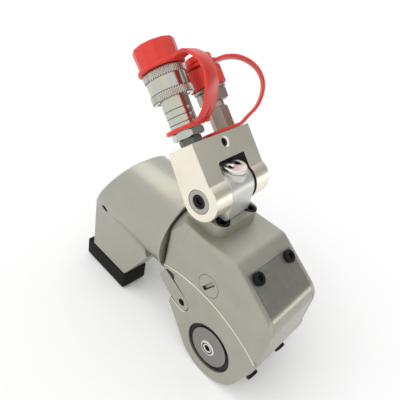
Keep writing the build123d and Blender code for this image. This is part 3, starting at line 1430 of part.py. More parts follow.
with BuildPart() as manifold_block:
    with BuildSketch(block_side(BLOCK_HALF)):
        Polygon(
            (BLOCK_BACK_V, BLOCK_HEIGHT),
            (BLOCK_FRONT_V, BLOCK_HEIGHT),
            (BLOCK_FRONT_V, 0),
            (BLOCK_LOBE_V - BLOCK_LOBE_R + 0.3, 2),
            align=None,
        )
        with Locations((BLOCK_LOBE_V, 0)):
            Circle(BLOCK_LOBE_R)
    extrude(amount=2 * BLOCK_HALF)
    chamfer(
        [edge for edge in manifold_block.edges() if abs(off_middle(edge) - BLOCK_HALF) < 0.01],
        length=BLOCK_EDGE,
    )
    with BuildSketch(block_side(SLOT_HALF)):
        Circle(SLOT_R)
    extrude(amount=2 * SLOT_HALF, mode=Mode.SUBTRACT)
    with BuildSketch(block_side(BLOCK_HALF + 1)):
        Circle(TILT_PIN_R + RUN_GAP)
    extrude(amount=2 * BLOCK_HALF + 2, mode=Mode.SUBTRACT)
    for high_y in (TILT_PIN_HEAD_T - BLOCK_HALF, BLOCK_HALF + 1):
        with BuildSketch(block_side(high_y)):
            Circle(TILT_PIN_HEAD_R + RUN_GAP)
        extrude(amount=TILT_PIN_HEAD_T + 1, mode=Mode.SUBTRACT)
    for side in (-1, 1):
        with BuildSketch(coupler_level(side, 0)):
            Circle(PORT_R + RUN_GAP)
        extrude(amount=-PORT_DEPTH - 0.1, mode=Mode.SUBTRACT)
        with BuildSketch(coupler_level(side, -PORT_DEPTH)):
            Circle(PORT_WAY_R)
        extrude(amount=-(BLOCK_HEIGHT - PORT_DEPTH), mode=Mode.SUBTRACT)
    passage_mouth = Plane(
        origin=pivot + v_dir * BLOCK_FRONT_V + u_dir * PASSAGE_U, x_dir=y_dir, z_dir=v_dir
    )
    with BuildSketch(passage_mouth.offset(-PASSAGE_PLUG_T)):
        Circle(PASSAGE_PLUG_R + RUN_GAP)
    extrude(amount=PASSAGE_PLUG_T + 1, mode=Mode.SUBTRACT)
    with BuildSketch(passage_mouth.offset(-PASSAGE_PLUG_T - 7)):
        Circle(PORT_WAY_R)
    extrude(amount=8, mode=Mode.SUBTRACT)
    with BuildSketch(passage_mouth.offset(0.01)):
        Circle(PASSAGE_SINK_R)
    extrude(amount=-1.4, taper=40, mode=Mode.SUBTRACT)
    with BuildSketch(
        Plane(origin=coupler_base(-1) + u_dir * (PASSAGE_U - BLOCK_HEIGHT), x_dir=v_dir, z_dir=y_dir)
    ):
        Circle(PORT_WAY_R)
    extrude(amount=port_y, mode=Mode.SUBTRACT)

with BuildPart() as tilt_pins:
    for side in (-1, 1):
        turned(
            Plane(origin=pivot, x_dir=v_dir, z_dir=v_dir.cross(y_dir)),
            tilt_axis,
            (0, side * TILT_PIN_INNER),
            (TILT_PIN_R, side * TILT_PIN_INNER),
            (TILT_PIN_R, side * (BLOCK_HALF - TILT_PIN_HEAD_T)),
            (TILT_PIN_HEAD_R, side * (BLOCK_HALF - TILT_PIN_HEAD_T)),
            (TILT_PIN_HEAD_R, side * (BLOCK_HALF - 0.3)),
            (TILT_PIN_HEAD_R - 0.3, side * BLOCK_HALF),
            (0, side * BLOCK_HALF),
        )
    for y in (-BLOCK_HALF + TILT_PIN_HEAD_T - 0.5, BLOCK_HALF + 1):
        with BuildSketch(block_side(y)):
            hexagon(TILT_PIN_HEX)
        extrude(amount=TILT_PIN_HEAD_T + 0.5, mode=Mode.SUBTRACT)

with BuildPart() as passage_plug:
    with BuildSketch(passage_mouth.offset(-PASSAGE_PLUG_T)):
        Circle(PASSAGE_PLUG_R)
    extrude(amount=PASSAGE_PLUG_T - 1.2)
    with BuildSketch(passage_mouth):
        hexagon(3.0)
    extrude(amount=-3.0, mode=Mode.SUBTRACT)

# Female coupler

with BuildPart() as female_adapter:
    with BuildSketch(coupler_level(-1, 0)):
        hexagon(F_ADAPTER_HEX)
    extrude(amount=F_ADAPTER_H)
    with BuildSketch(coupler_level(-1, -PORT_DEPTH)):
        Circle(PORT_R)
    extrude(amount=PORT_DEPTH)
    with BuildSketch(coupler_level(-1, -PORT_DEPTH)):
        Circle(COUPLER_WAY_R)
    extrude(amount=PORT_DEPTH + F_ADAPTER_H, mode=Mode.SUBTRACT)

with BuildPart() as female_body:
    with BuildSketch(coupler_level(-1, F_ADAPTER_H)):
        hexagon(F_HEX)
    extrude(amount=F_HEX_END - F_ADAPTER_H)
    turned(
        coupler_plane(-1),
        Axis(coupler_base(-1), u_dir),
        (0, F_HEX_END),
        (F_BARREL_R, F_HEX_END),
        *[
            point
            for low in F_GROOVES
            for point in (
                (F_BARREL_R, low),
                (F_BARREL_R - F_GROOVE_D, low + 0.2),
                (F_BARREL_R - F_GROOVE_D, low + F_GROOVE_W),
                (F_BARREL_R, low + F_GROOVE_W + 0.2),
            )
        ],
        (F_BARREL_R, F_BARREL_END),
        (F_BODY_R, F_BARREL_END),
        (F_BODY_R, F_BODY_END - 0.6),
        (F_BODY_R - 0.6, F_BODY_END),
        (0, F_BODY_END),
    )
    with BuildSketch(coupler_level(-1, F_ADAPTER_H)):
        Circle(COUPLER_WAY_R)
    extrude(amount=F_BODY_END, mode=Mode.SUBTRACT)
    with BuildSketch(coupler_level(-1, F_BODY_END)):
        Circle(F_SOCKET_R)
    extrude(amount=-F_SOCKET_DEPTH, mode=Mode.SUBTRACT)

with BuildPart() as female_poppet:
    turned(
        coupler_plane(-1),
        Axis(coupler_base(-1), u_dir),
        (0, F_BODY_END - F_SOCKET_DEPTH - 8),
        (COUPLER_WAY_R - RUN_GAP, F_BODY_END - F_SOCKET_DEPTH - 8),
        (COUPLER_WAY_R - RUN_GAP, F_BODY_END - F_SOCKET_DEPTH),
        (F_SOCKET_R - 3, F_BODY_END - F_SOCKET_DEPTH),
        (F_SOCKET_R - 3, F_BODY_END - F_SOCKET_DEPTH + 2),
        (2, F_BODY_END - F_SOCKET_DEPTH + 4.5),
        (0, F_BODY_END - F_SOCKET_DEPTH + 4.5),
    )

with BuildPart() as female_sleeve:
    turned(
        coupler_plane(-1),
        Axis(coupler_base(-1), u_dir),
        (F_BODY_R + CAP_FIT_GAP, SLEEVE_START),
        (SLEEVE_KNURL_R - 0.5, SLEEVE_START),
        (SLEEVE_KNURL_R, SLEEVE_START + 0.5),
        (SLEEVE_KNURL_R, SLEEVE_START + SLEEVE_KNURL_H),
        (SLEEVE_R, SLEEVE_START + SLEEVE_KNURL_H),
        (SLEEVE_R, SLEEVE_END - SLEEVE_KNURL_H),
        (SLEEVE_KNURL_R, SLEEVE_END - SLEEVE_KNURL_H),
        (SLEEVE_KNURL_R, SLEEVE_END - 0.5),
        (SLEEVE_KNURL_R - 0.5, SLEEVE_END),
        (F_BODY_R + CAP_FIT_GAP, SLEEVE_END),
    )

with BuildPart() as female_cap:
    with BuildSketch(coupler_level(-1, F_CAP_START)):
        Circle(F_CAP_LIP_R)
    extrude(amount=F_CAP_LIP_H)
    with BuildSketch(coupler_level(-1, F_CAP_START)):
        RegularPolygon(radius=F_CAP_R + 0.2, side_count=F_CAP_FACETS)
    extrude(amount=F_CAP_END - F_CAP_START)
    turned(
        coupler_plane(-1),
        Axis(coupler_base(-1), u_dir),
        (F_CAP_R - 1.2, F_CAP_END + 1),
        (F_CAP_R - 1.2, F_CAP_END),
        (F_CAP_R + 1, F_CAP_END - 2.2),
        (F_CAP_R + 1, F_CAP_END + 1),
        mode=Mode.SUBTRACT,
    )
    with BuildSketch(coupler_level(-1, F_CAP_START - F_CAP_PLUG)):
        Circle(F_SOCKET_R - CAP_FIT_GAP)
    extrude(amount=F_CAP_PLUG)

with BuildPart() as female_strap:
    strap_plane = Plane(
        origin=coupler_base(-1),
        x_dir=v_dir * cos(radians(F_STRAP_TURN)) + y_dir * sin(radians(F_STRAP_TURN)),
        z_dir=v_dir * sin(radians(F_STRAP_TURN)) - y_dir * cos(radians(F_STRAP_TURN)),
    )
    with BuildSketch(strap_plane):
        add(band_face(F_STRAP_ROUTE, (-0.9, -0.4)))
    extrude(amount=F_STRAP_WIDTH / 2, both=True)
    with BuildSketch(coupler_level(-1, F_STRAP_RING[2])):
        Circle(F_STRAP_RING[1])
        Circle(F_STRAP_RING[0], mode=Mode.SUBTRACT)
    extrude(amount=STRAP_T)
    with BuildSketch(coupler_level(-1, F_STRAP_RING[2] - 5)):
        Circle(F_STRAP_RING[0])
    extrude(amount=10, mode=Mode.SUBTRACT)

# Male coupler

with BuildPart() as male_adapter:
    with BuildSketch(coupler_level(1, 0)):
        hexagon(M_ADAPTER_HEX)
    extrude(amount=M_ADAPTER_H)
    with BuildSketch(coupler_level(1, -PORT_DEPTH)):
        Circle(PORT_R)
    extrude(amount=PORT_DEPTH)
    with BuildSketch(coupler_level(1, -PORT_DEPTH)):
        Circle(COUPLER_WAY_R)
    extrude(amount=PORT_DEPTH + M_ADAPTER_H, mode=Mode.SUBTRACT)

with BuildPart() as male_body:
    turned(
        coupler_plane(1),
        Axis(coupler_base(1), u_dir),
        (0, M_ADAPTER_H),
        (M_NECK_R, M_ADAPTER_H),
        (M_NECK_R, M_NECK_END),
        (M_NECK_R, M_HEX_END),
        (M_RING_R, M_HEX_END),
        (M_RING_R, M_RING_END - 0.5),
        (M_RING_R - 0.5, M_RING_END),
        (0, M_RING_END),
    )
    with BuildSketch(coupler_level(1, M_NECK_END)):
        hexagon(M_HEX)
    extrude(amount=M_HEX_END - M_NECK_END)
    with BuildSketch(coupler_level(1, M_ADAPTER_H)):
        Circle(COUPLER_WAY_R)
    extrude(amount=M_RING_END, mode=Mode.SUBTRACT)

with BuildPart() as male_nipple:
    turned(
        coupler_plane(1),
        Axis(coupler_base(1), u_dir),
        (COUPLER_WAY_R, M_RING_END),
        (M_NIPPLE_R, M_RING_END),
        (M_NIPPLE_R, nipple_end - 0.53 * nipple_length),
        (M_NIPPLE_TIP_R, nipple_end - 0.38 * nipple_length),
        (M_NIPPLE_TIP_R, nipple_end - 0.5),
        (M_NIPPLE_TIP_R - 0.5, nipple_end),
        (COUPLER_WAY_R, nipple_end),
    )

with BuildPart() as male_poppet:
    turned(
        coupler_plane(1),
        Axis(coupler_base(1), u_dir),
        (0, nipple_end - 14),
        (COUPLER_WAY_R - RUN_GAP, nipple_end - 14),
        (COUPLER_WAY_R - RUN_GAP, nipple_end - 0.4),
        (0, nipple_end - 0.4),
    )

with BuildPart() as male_cap:
    turned(
        coupler_plane(1),
        Axis(coupler_base(1), u_dir),
        (0, M_CAP_START),
        (M_CAP_R, M_CAP_START),
        (M_CAP_R, M_CAP_SHOULDER - 0.8),
        (M_CAP_R - 0.8, M_CAP_SHOULDER),
        (M_CAP_NECK_R, M_CAP_SHOULDER),
        (M_CAP_NECK_R, m_cap_neck_end),
        (M_CAP_TOP_R, m_cap_neck_end),
        (M_CAP_TOP_R, m_cap_end - 1.5),
        (M_CAP_TOP_R - 1.5, m_cap_end),
        (0, m_cap_end),
    )
    with BuildSketch(coupler_level(1, M_CAP_START)):
        with PolarLocations(M_CAP_R + 0.5, M_CAP_RIBS):
            Circle(1.3)
    extrude(amount=M_CAP_SHOULDER - M_CAP_START - 2, mode=Mode.SUBTRACT)
    with BuildSketch(coupler_level(1, M_CAP_START)):
        Circle(M_NIPPLE_R + CAP_FIT_GAP)
    extrude(amount=nipple_end - M_CAP_START + M_CAP_FLOOR_GAP, mode=Mode.SUBTRACT)

with BuildPart() as male_strap:
    bow_plane = Plane(
        origin=coupler_base(1),
        x_dir=v_dir * cos(radians(M_STRAP_TURN)) + y_dir * sin(radians(M_STRAP_TURN)),
        z_dir=v_dir * sin(radians(M_STRAP_TURN)) - y_dir * cos(radians(M_STRAP_TURN)),
    )
    with BuildSketch(bow_plane):
        add(band_face(m_strap_route, (-1, 0)))
    extrude(amount=STRAP_WIDTH / 2, both=True)
    for inner, outer, low in (
        (*M_STRAP_TOP_RING, m_ring_low),
        (*M_STRAP_LOW_RING, M_STRAP_LOW_GAP),
    ):
        with BuildSketch(coupler_level(1, low)):
            Circle(outer)
        extrude(amount=STRAP_T)
        with BuildSketch(coupler_level(1, low - 1)):
            Circle(inner)
        extrude(amount=STRAP_T + 2, mode=Mode.SUBTRACT)

pieces = {
    "housing": housing,
    "front_cover": front_cover,
    "cover_screws": cover_screws,
    "rod_pin_plug": rod_pin_plug,
    "cylinder_end_cap": cylinder_end_cap,
    "end_cap_seal": end_cap_seal,
    "rod_gland": rod_gland,
    "rod_seal": rod_seal,
    "piston": piston,
    "piston_seal": piston_seal,
    "piston_nut": piston_nut,
    "piston_rod": piston_rod,
    "rod_pin": rod_pin,
    "drive_plates": drive_plates,
    "pawl_carrier": pawl_carrier,
    "carrier_dowels": carrier_dowels,
    "drive_pawl": drive_pawl,
    "pawl_springs": pawl_springs,
    "ratchet": ratchet,
    "drive_bushes": drive_bushes,
    "bush_seals": bush_seals,
    "square_drive": square_drive,
    "drive_retainer": drive_retainer,
    "retainer_button": retainer_button,
    "reaction_pawl": reaction_pawl,
    "reaction_pawl_spring": reaction_pawl_spring,
    "reaction_pawl_pin": reaction_pawl_pin,
    "near_lever": near_lever,
    "far_lever": far_lever,
    "reaction_arm": reaction_arm,
    "arm_set_screw": arm_set_screw,
    "reaction_pad": reaction_pad,
    "swivel_flange": swivel_flange,
    "flange_screws": flange_screws,
    "swivel_post": swivel_post,
    "swivel_cap": swivel_cap,
    "swivel_body": swivel_body,
    "manifold_block": manifold_block,
    "tilt_pins": tilt_pins,
    "passage_plug": passage_plug,
    "female_adapter": female_adapter,
    "female_body": female_body,
    "female_poppet": female_poppet,
    "female_sleeve": female_sleeve,
    "female_cap": female_cap,
    "female_strap": female_strap,
    "male_adapter": male_adapter,
    "male_body": male_body,
    "male_nipple": male_nipple,
    "male_poppet": male_poppet,
    "male_cap": male_cap,
    "male_strap": male_strap,
}

os.makedirs("parts", exist_ok=True)
for name, piece in pieces.items():
    piece.part.label = name
    export_step(piece.part, f"parts/{name}.step")
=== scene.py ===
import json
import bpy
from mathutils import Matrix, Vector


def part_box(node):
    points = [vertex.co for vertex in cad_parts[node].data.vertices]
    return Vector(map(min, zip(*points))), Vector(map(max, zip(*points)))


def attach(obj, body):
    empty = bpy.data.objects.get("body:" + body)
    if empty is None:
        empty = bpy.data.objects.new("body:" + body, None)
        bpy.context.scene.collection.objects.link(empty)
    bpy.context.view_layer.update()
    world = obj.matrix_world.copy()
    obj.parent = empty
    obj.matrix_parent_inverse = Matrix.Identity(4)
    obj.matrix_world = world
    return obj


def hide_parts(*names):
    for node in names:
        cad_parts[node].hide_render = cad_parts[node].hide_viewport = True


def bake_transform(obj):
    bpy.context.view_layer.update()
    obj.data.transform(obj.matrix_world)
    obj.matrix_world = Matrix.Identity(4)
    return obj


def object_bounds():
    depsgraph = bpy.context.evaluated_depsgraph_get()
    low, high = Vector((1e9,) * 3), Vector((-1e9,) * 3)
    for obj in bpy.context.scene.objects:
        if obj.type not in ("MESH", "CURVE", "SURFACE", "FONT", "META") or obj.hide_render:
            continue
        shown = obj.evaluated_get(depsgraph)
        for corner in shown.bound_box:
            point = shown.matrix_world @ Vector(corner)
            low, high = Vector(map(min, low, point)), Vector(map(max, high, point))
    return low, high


bl_info = {
    "name": "Hydraulic Torque Wrench Finish",
    "version": (1, 0, 0),
    "blender": (4, 5, 0),
    "location": "View3D > Sidebar > Torque Wrench",
    "description": "Builds the looks of a hydraulic torque wrench round its packed CAD model",
    "category": "Object",
}

from math import atan2, cos, pi, radians, sin, tan, tau

import bmesh
import bpy
from bpy.props import FloatProperty, FloatVectorProperty, IntProperty, PointerProperty
from mathutils import Matrix, Vector

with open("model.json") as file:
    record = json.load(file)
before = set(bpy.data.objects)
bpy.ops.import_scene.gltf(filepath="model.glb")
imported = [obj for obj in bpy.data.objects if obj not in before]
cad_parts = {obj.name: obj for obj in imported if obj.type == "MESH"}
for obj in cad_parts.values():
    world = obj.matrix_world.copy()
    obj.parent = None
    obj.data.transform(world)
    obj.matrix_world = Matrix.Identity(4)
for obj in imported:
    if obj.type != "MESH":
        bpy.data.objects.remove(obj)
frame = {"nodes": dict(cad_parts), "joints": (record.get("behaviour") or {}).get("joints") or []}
cad_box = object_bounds()
joints = {joint["name"]: joint for joint in frame["joints"]}

MM = 0.001
HERE = Matrix.Identity(4)
UP = Vector((0, 0, 1))
NEAR = Vector((0, -1, 0))
SIDES = (-1, 1)


def pivot(name):
    """A point on the axis of the joint of that name."""
    return Vector(joints[name]["pos_m"])


def axis(name):
    """Direction of the axis of the joint of that name."""
    return Vector(joints[name]["axis"]).normalized()


# The tilt joint, in metres as the frame gives it; the sizes and places below it are in millimetres
TILT_AT = pivot("manifold_tilt")
TILT_WAY = axis("manifold_tilt")

# Manifold block: half its width and its slot's, depth of the tilt screws' seats, and a port's place
BLOCK_HALF = 34.0
SLOT_HALF = 15.9
PIN_SINK = 3.4
PORT_AT = 20.0

# Step between the levels of the head's side: the upper level, where the painted highlight on its edge starts,
# its width
STEP_HIGH = 34.0
STEP_CLEAR = 26.0
STEP_HIGHLIGHT = 0.55

# Bend at the head's front: sharp corner, half turn in degrees, radius before and after it is eased,
# depth that the easing reaches, and the cuts that give it enough points to bend
BEND_AT = Vector((41.0, 0, 64.73))
BEND_TURN = 28.2
BEND_OLD = 6.0
BEND_NEW = 18.0
BEND_DEEP = 14.0
BEND_CUT = 1.2
BEND_CUTS = 7

# Hollows: the arm's set-screw hole with its slant in degrees, and the rod pin plug's socket
ARM_SCREW_AT = Vector((-146.5, 0, 59.5))
ARM_SCREW_TURN = 20.0
PLUG_AT = Vector((-17.0, 0, 58.7))

# Cover screws: seat and slope in degrees of the upper pair, seat and way of the lower, half their spacing
COVER_SEAT = Vector((11.6, 0, 84.27))
COVER_SLOPE = 33.6
LOW_COVER_SEAT = Vector((34.23, 0, -3.0))
LOW_COVER_WAY = Vector((0.9517, 0, -0.3069))
COVER_SPREAD = 19.7

# Flange screws: middle of their seats, and half their spacing along the head and across it
FLANGE_SEAT = Vector((-45.0, 0, 99.5))
FLANGE_ALONG = 14.0
FLANGE_ACROSS = 16.5

# Spring of the holding pawl, swivel cap's seat and its holes' distance, and seat of the drive's button
SPRING_AT = Vector((-31.5, 0, 0))
CAP_SEAT = 138.3
CAP_HOLE = 4.4
BUTTON_SEAT = 32.6

# Female coupler: heights of the barrel's grooves, their width, sleeve's radius, its knurled bands
GROOVES = (16.0, 21.0, 26.0)
GROOVE = 0.6
SLEEVE = 15.1
KNURL_BANDS = (34.1, 49.1)
KNURL_BAND = 5.8

# Plain waist between the sleeve's knurled bands: its low and high end and its radius
WAIST_LOW = 40.0
WAIST_HIGH = 49.0
WAIST = 14.8

# Steps along a strap, and steps of the curve between two points of its route
STRAP_STEPS = 72
CURVE_STEPS = 24

# Place and view of the camera, in metres, with its shift as a share of the frame
CAMERA_AT = Vector((0.0872, -0.2109, 0.2807))
CAMERA_AHEAD = Vector((-0.498, 0.657, -0.566))
CAMERA_TOP = Vector((-0.518, 0.299, 0.802))
CAMERA_SHIFT = (0.00545, -0.0189)

# Half the floor's width, in metres, and steps round a card
FLOOR_REACH = 6.0
CARD_STEPS = 12


def linear(code):
    """Linear colour of an sRGB hex code such as B4B2A6."""
    shares = [int(code[i : i + 2], 16) / 255 for i in (0, 2, 4)]
    return [s / 12.92 if s <= 0.04045 else ((s + 0.055) / 1.055) ** 2.4 for s in shares] + [1.0]


def colour(label, code, about):
    """A colour property whose default is an sRGB hex code."""
    return FloatVectorProperty(
        name=label, description=about, default=linear(code), size=4, subtype="COLOR", min=0, max=1
    )


def length(label, millimetres, about):
    """A length property whose default is given in millimetres."""
    return FloatProperty(
        name=label, description=about, default=millimetres * MM, min=0, unit="LENGTH", precision=5
    )


class WrenchColours(bpy.types.PropertyGroup):
    """Colours of the wrench's finishes"""

    blasted: colour("Blasted steel", "A8A79C", "Head, arm, levers and flange")
    block: colour("Block steel", "EDE7D6", "Manifold block")
    cover: colour("Cover steel", "A09D92", "Front cover")
    turned: colour("Turned steel", "ABA9A0", "Pins, square drive and inner pieces")
    hardened: colour("Hardened steel", "8C8B86", "Ratchet, pawls, drive plates and springs")
    oxide: colour("Black oxide", "1C1C1F", "Socket screws")
    zinc: colour("Zinc plate", "B9BFBF", "Female coupler")
    zinc_yellow: colour("Zinc tint", "C9C4AC", "Yellow cast in the zinc's chromate film")
    chrome: colour("Chrome", "E4DEDA", "Swivel cap and the drive's button")
    adapter: colour("Adapter steel", "6A6C66", "Adapter under the female coupler")
    red: colour("Red plastic", "D4352A", "Dust caps and straps")
    rubber: colour("Rubber", "121411", "Reaction pad")
    backdrop: colour("Backdrop", "FFFFFF", "Floor under the wrench")


class WrenchSizes(bpy.types.PropertyGroup):
    """Sizes of the pieces that the finish adds"""

    edge_break: length("Edge break", 0.35, "Width of the broken edge on machined pieces")
    grit: length("Blast grain", 1.1, "Grain of the blasted surface, drawn coarse enough to show")
    knurl_pitch: length("Knurl pitch", 1.9, "Spacing of the diamonds round the sleeve")
    knurl_depth: length("Knurl depth", 0.4, "Height of one diamond")
    screw_head: length("Cover screw head", 5.2, "Radius of a cover screw's head")
    flange_head: length("Flange screw head", 4.9, "Radius of a flange screw's head")
    wide_strap: length("Wide strap", 16.0, "Width of the large cap's strap")
    narrow_strap: length("Narrow strap", 11.5, "Width of the small cap's strap at its ends")
    strap_thickness: length("Strap thickness", 2.4, "Thickness of a dust cap's strap")
    pad_round: length("Pad rounding", 1.6, "Rounded edge of the reaction pad")
    cap_ribs: IntProperty(name="Cap ribs", description="Ribs round the small cap", default=14, min=6)
    cap_facets: IntProperty(
        name="Cap facets", description="Soft facets of the large cap", default=12, min=6
    )


class WrenchStage(bpy.types.PropertyGroup):
    """Camera and light"""

    lens: FloatProperty(
        name="Lens", description="Camera's focal length", default=35.02, min=1, unit="CAMERA"
    )
    sun: FloatProperty(
        name="Sun", description="Strength of the soft light over the left shoulder", default=1.5, min=0
    )
    sun_width: FloatProperty(
        name="Sun width", description="Width of that light", default=radians(75), subtype="ANGLE"
    )
    sky: FloatProperty(
        name="Sky", description="Level of the light from all round", default=0.68, min=0
    )


# Finishes

# Size of the clouds in a surface's colour and grain of a plated skin, in millimetres
CLOUD = 14.0
PLATING_SKIN = 0.9


def add(tree, kind, inputs=None, **settings):
    """Add a node with its settings, and its inputs as values or as sockets to link."""
    made = tree.nodes.new(kind)
    for label, value in settings.items():
        setattr(made, label, value)
    for key, value in (inputs or {}).items():
        if isinstance(value, bpy.types.NodeSocket):
            tree.links.new(value, made.inputs[key])
        else:
            made.inputs[key].default_value = value
    return made


def shader_of(name, base, metallic, roughness):
    """A fresh material of that name with its shader's plain values, as (material, tree, shader)."""
    material = bpy.data.materials.new(name)
    material.use_nodes = True
    shader = material.node_tree.nodes["Principled BSDF"]
    for label, value in (("Base Color", base), ("Metallic", metallic), ("Roughness", roughness)):
        shader.inputs[label].default_value = value
    return material, material.node_tree, shader


def shade(base, share):
    """The colour made darker or lighter by a share."""
    return [min(1.0, channel * share) for channel in base[:3]] + [1.0]


def coat(tree, shader, share, low, high, height, strength, depth):
    """Colour the shader between two tones by a share, and raise its skin by a height."""
    tint = add(tree, "ShaderNodeMix", {"Factor": share, "A": low, "B": high}, data_type="RGBA")
    tree.links.new(tint.outputs["Result"], shader.inputs["Base Color"])
    relief = add(tree, "ShaderNodeBump", {"Height": height, "Strength": strength, "Distance": depth * MM})
    tree.links.new(relief.outputs["Normal"], shader.inputs["Normal"])


def speckled(name, base, metallic, roughness, grain, depth, low=0.94, high=1.06):
    """A surface with a fine grain in relief and slow, faint clouds of lighter and darker colour."""
    material, tree, shader = shader_of(name, base, metallic, roughness)
    place = add(tree, "ShaderNodeTexCoord").outputs["Object"]
    fine, cloud = (
        add(tree, "ShaderNodeTexNoise", {"Vector": place, "Scale": 1 / (size * MM), "Detail": detail})
        for size, detail in ((grain, 2.0), (CLOUD, 3.0))
    )
    both = add(tree, "ShaderNodeMath", {0: fine.outputs["Fac"], 1: cloud.outputs["Fac"]}, operation="ADD")
    share = add(tree, "ShaderNodeMapRange", {"Value": both.outputs[0], "From Min": 0.7, "From Max": 1.3})
    tones = shade(base, low), shade(base, high)
    coat(tree, shader, share.outputs[0], *tones, fine.outputs["Fac"], 0.5, depth)
    return material


def streaked(name, base, metallic, roughness, fine, long):
    """A ground surface whose scratches run along the piece's Z."""
    material, tree, shader = shader_of(name, base, metallic, roughness)
    place = add(tree, "ShaderNodeTexCoord").outputs["Object"]
    stretch = [1 / (size * MM) for size in (fine, fine, long)]
    way = add(tree, "ShaderNodeMapping", {"Vector": place, "Scale": stretch})
    lines = add(tree, "ShaderNodeTexNoise", {"Vector": way.outputs[0], "Scale": 1.0, "Detail": 3.0})
    share = lines.outputs["Fac"]
    limits = {"From Min": 0.3, "From Max": 0.7, "To Min": roughness * 0.92, "To Max": roughness * 1.1}
    rough = add(tree, "ShaderNodeMapRange", {"Value": share, **limits})
    tree.links.new(rough.outputs[0], shader.inputs["Roughness"])
    coat(tree, shader, share, shade(base, 0.96), shade(base, 1.04), share, 0.02, 0.005)
    return material


def plated(name, base, second, roughness, spread, long, turn=(0, 0, 0)):
    """Plating whose film shifts between two tones round the axis that turn gives."""
    material, tree, shader = shader_of(name, base, 1.0, roughness)
    place = add(tree, "ShaderNodeTexCoord").outputs["Object"]
    inputs = {"Vector": place, "Rotation": turn, "Scale": [size * MM for size in (spread, spread, long)]}
    way = add(tree, "ShaderNodeMapping", inputs, vector_type="TEXTURE")
    cloud = add(tree, "ShaderNodeTexNoise", {"Vector": way.outputs[0], "Scale": 1.0, "Detail": 2.0})
    share = add(
        tree, "ShaderNodeMapRange", {"Value": cloud.outputs["Fac"], "From Min": 0.38, "From Max": 0.62}
    )
    inputs = {"Vector": place, "Scale": 1 / (PLATING_SKIN * MM), "Detail": 1.0}
    skin = add(tree, "ShaderNodeTexNoise", inputs)
    coat(tree, shader, share.outputs[0], base, list(second), skin.outputs["Fac"], 0.1, 0.02)
    return material


def make_finishes(colours, sizes):
    """Every finish of the wrench by name, its patterns' sizes in millimetres."""
    grit = sizes.grit / MM
    barrel = coupler(-1).to_euler()
    kinds = {
        # Bead blasted and nickelled steel: a soft grey with no grain direction and a faint sparkle
        "blasted_steel": (speckled, colours.blasted, 0.75, 0.46, grit, 0.10),
        # The same blast on a milled block, a little finer; its lighter colour is partly the steel's own warm
        # tone and partly painted light, for the light that falls on the block
        "block_steel": (speckled, colours.block, 0.85, 0.34, grit * 0.8, 0.05, 0.96, 1.04),
        # Painted shade inside milled slots, holes and the gap round the rod pin plug: a dark steel where
        # shade falls
        "slot_steel": (speckled, linear("4A4943"), 0.8, 0.5, grit, 0.05, 0.9, 1.1),
        # Milled and brushed steel between the two in brightness
        "swivel_steel": (speckled, linear("CFCFC9"), 0.6, 0.36, grit * 0.8, 0.05, 0.96, 1.04),
        # Forged and ground arm: smoother than the blast, so light runs along its bends
        "arm_steel": (speckled, colours.blasted, 0.85, 0.34, grit * 0.8, 0.05, 0.97, 1.03),
        # Painted highlight: a thin light line round blasted pieces, on their broken edges
        "rubbed_edge": (speckled, linear("E8E5DA"), 0.2, 0.3, grit, 0.02, 0.97, 1.03),
        # Ground cover plate: a smooth sheen over a soft grey, darker than the head
        "cover_steel": (streaked, colours.cover, 0.7, 0.26, 5, 60),
        # Turned steel: smooth, bright and plain, with a trace of the tool's lines
        "turned_steel": (streaked, colours.turned, 0.9, 0.32, 1.2, 5),
        # Ground and hardened steel: darker, smooth and a little oily
        "hardened_steel": (streaked, colours.hardened, 1.0, 0.34, 1.0, 8),
        # Black oxide: nearly black, with a low sheen where the edges catch light; also painted shade in the
        # drive button's socket and groove
        "black_oxide": (speckled, colours.oxide, 0.5, 0.36, 0.8, 0.03, 0.85, 1.15),
        # Drawn wire: grey, smooth along its length
        "spring_steel": (streaked, colours.hardened, 1.0, 0.3, 0.6, 4),
        # Zinc plate with a clear chromate film: bright, with blue and yellow casts along the barrel
        "zinc_plate": (plated, colours.zinc, colours.zinc_yellow, 0.2, 3, 90, barrel),
        # The same plate over a knurl: the cut diamonds scatter the light, so it looks matt and greyer
        "knurled_zinc": (plated, linear("D4D2CA"), linear("C6C3B8"), 0.34, 3, 90, barrel),
        # Painted shade in the knurl's valleys and the barrel's grooves: a dark plating where shade falls
        "knurl_valley": (plated, linear("8A8780"), linear("7B7871"), 0.5, 3, 90, barrel),
        # Polished chrome: a clear mirror, softened a little by handling; its faint pink cast is a painted
        # reflection of the red straps
        "chrome_plate": (plated, colours.chrome, shade(colours.chrome, 0.93), 0.3, 12, 12),
        # Bearing bronze: warm and smooth
        "bronze": (streaked, linear("B08A55"), 1.0, 0.36, 1.0, 6),
        # Nitrile seal: black and slightly shiny
        "seal_rubber": (speckled, linear("161616"), 0.0, 0.45, 0.9, 0.02, 0.9, 1.1),
        # Moulded rubber: black with a green cast, and dull
        "pad_rubber": (speckled, colours.rubber, 0.0, 0.8, 1.4, 0.06, 0.8, 1.25),
        # Moulded soft polythene: strong red, waxy highlights, a slightly uneven skin
        "red_plastic": (speckled, colours.red, 0.0, 0.36, 2.6, 0.10, 0.95, 1.05),
        # Turned and blanched nipple stock: a satin, faintly warm grey
        "satin_steel": (streaked, linear("A39C90"), 0.9, 0.38, 1.0, 6),
        # Bare forged adapter: dark grey and matt
        "adapter_steel": (speckled, colours.adapter, 0.8, 0.42, 0.9, 0.05, 0.9, 1.1),
    }
    made = {name: make(name, list(base), *rest) for name, (make, base, *rest) in kinds.items()}
    for name in ("pad_rubber", "black_oxide", "seal_rubber"):
        made[name].node_tree.nodes["Principled BSDF"].inputs["Specular IOR Level"].default_value = 0.22
    return made


finishes = {}

# Shapes


def coupler(side):
    """Place of a coupler's axis on the block, side -1 for the female: Z runs up it from the block's top."""
    up = axis("sleeve_turn")
    foot = pivot("sleeve_turn") + TILT_WAY * (side + 1) * PORT_AT * MM
    return Matrix.Translation(foot) @ Matrix((TILT_WAY.cross(up), TILT_WAY, up)).transposed().to_4x4()


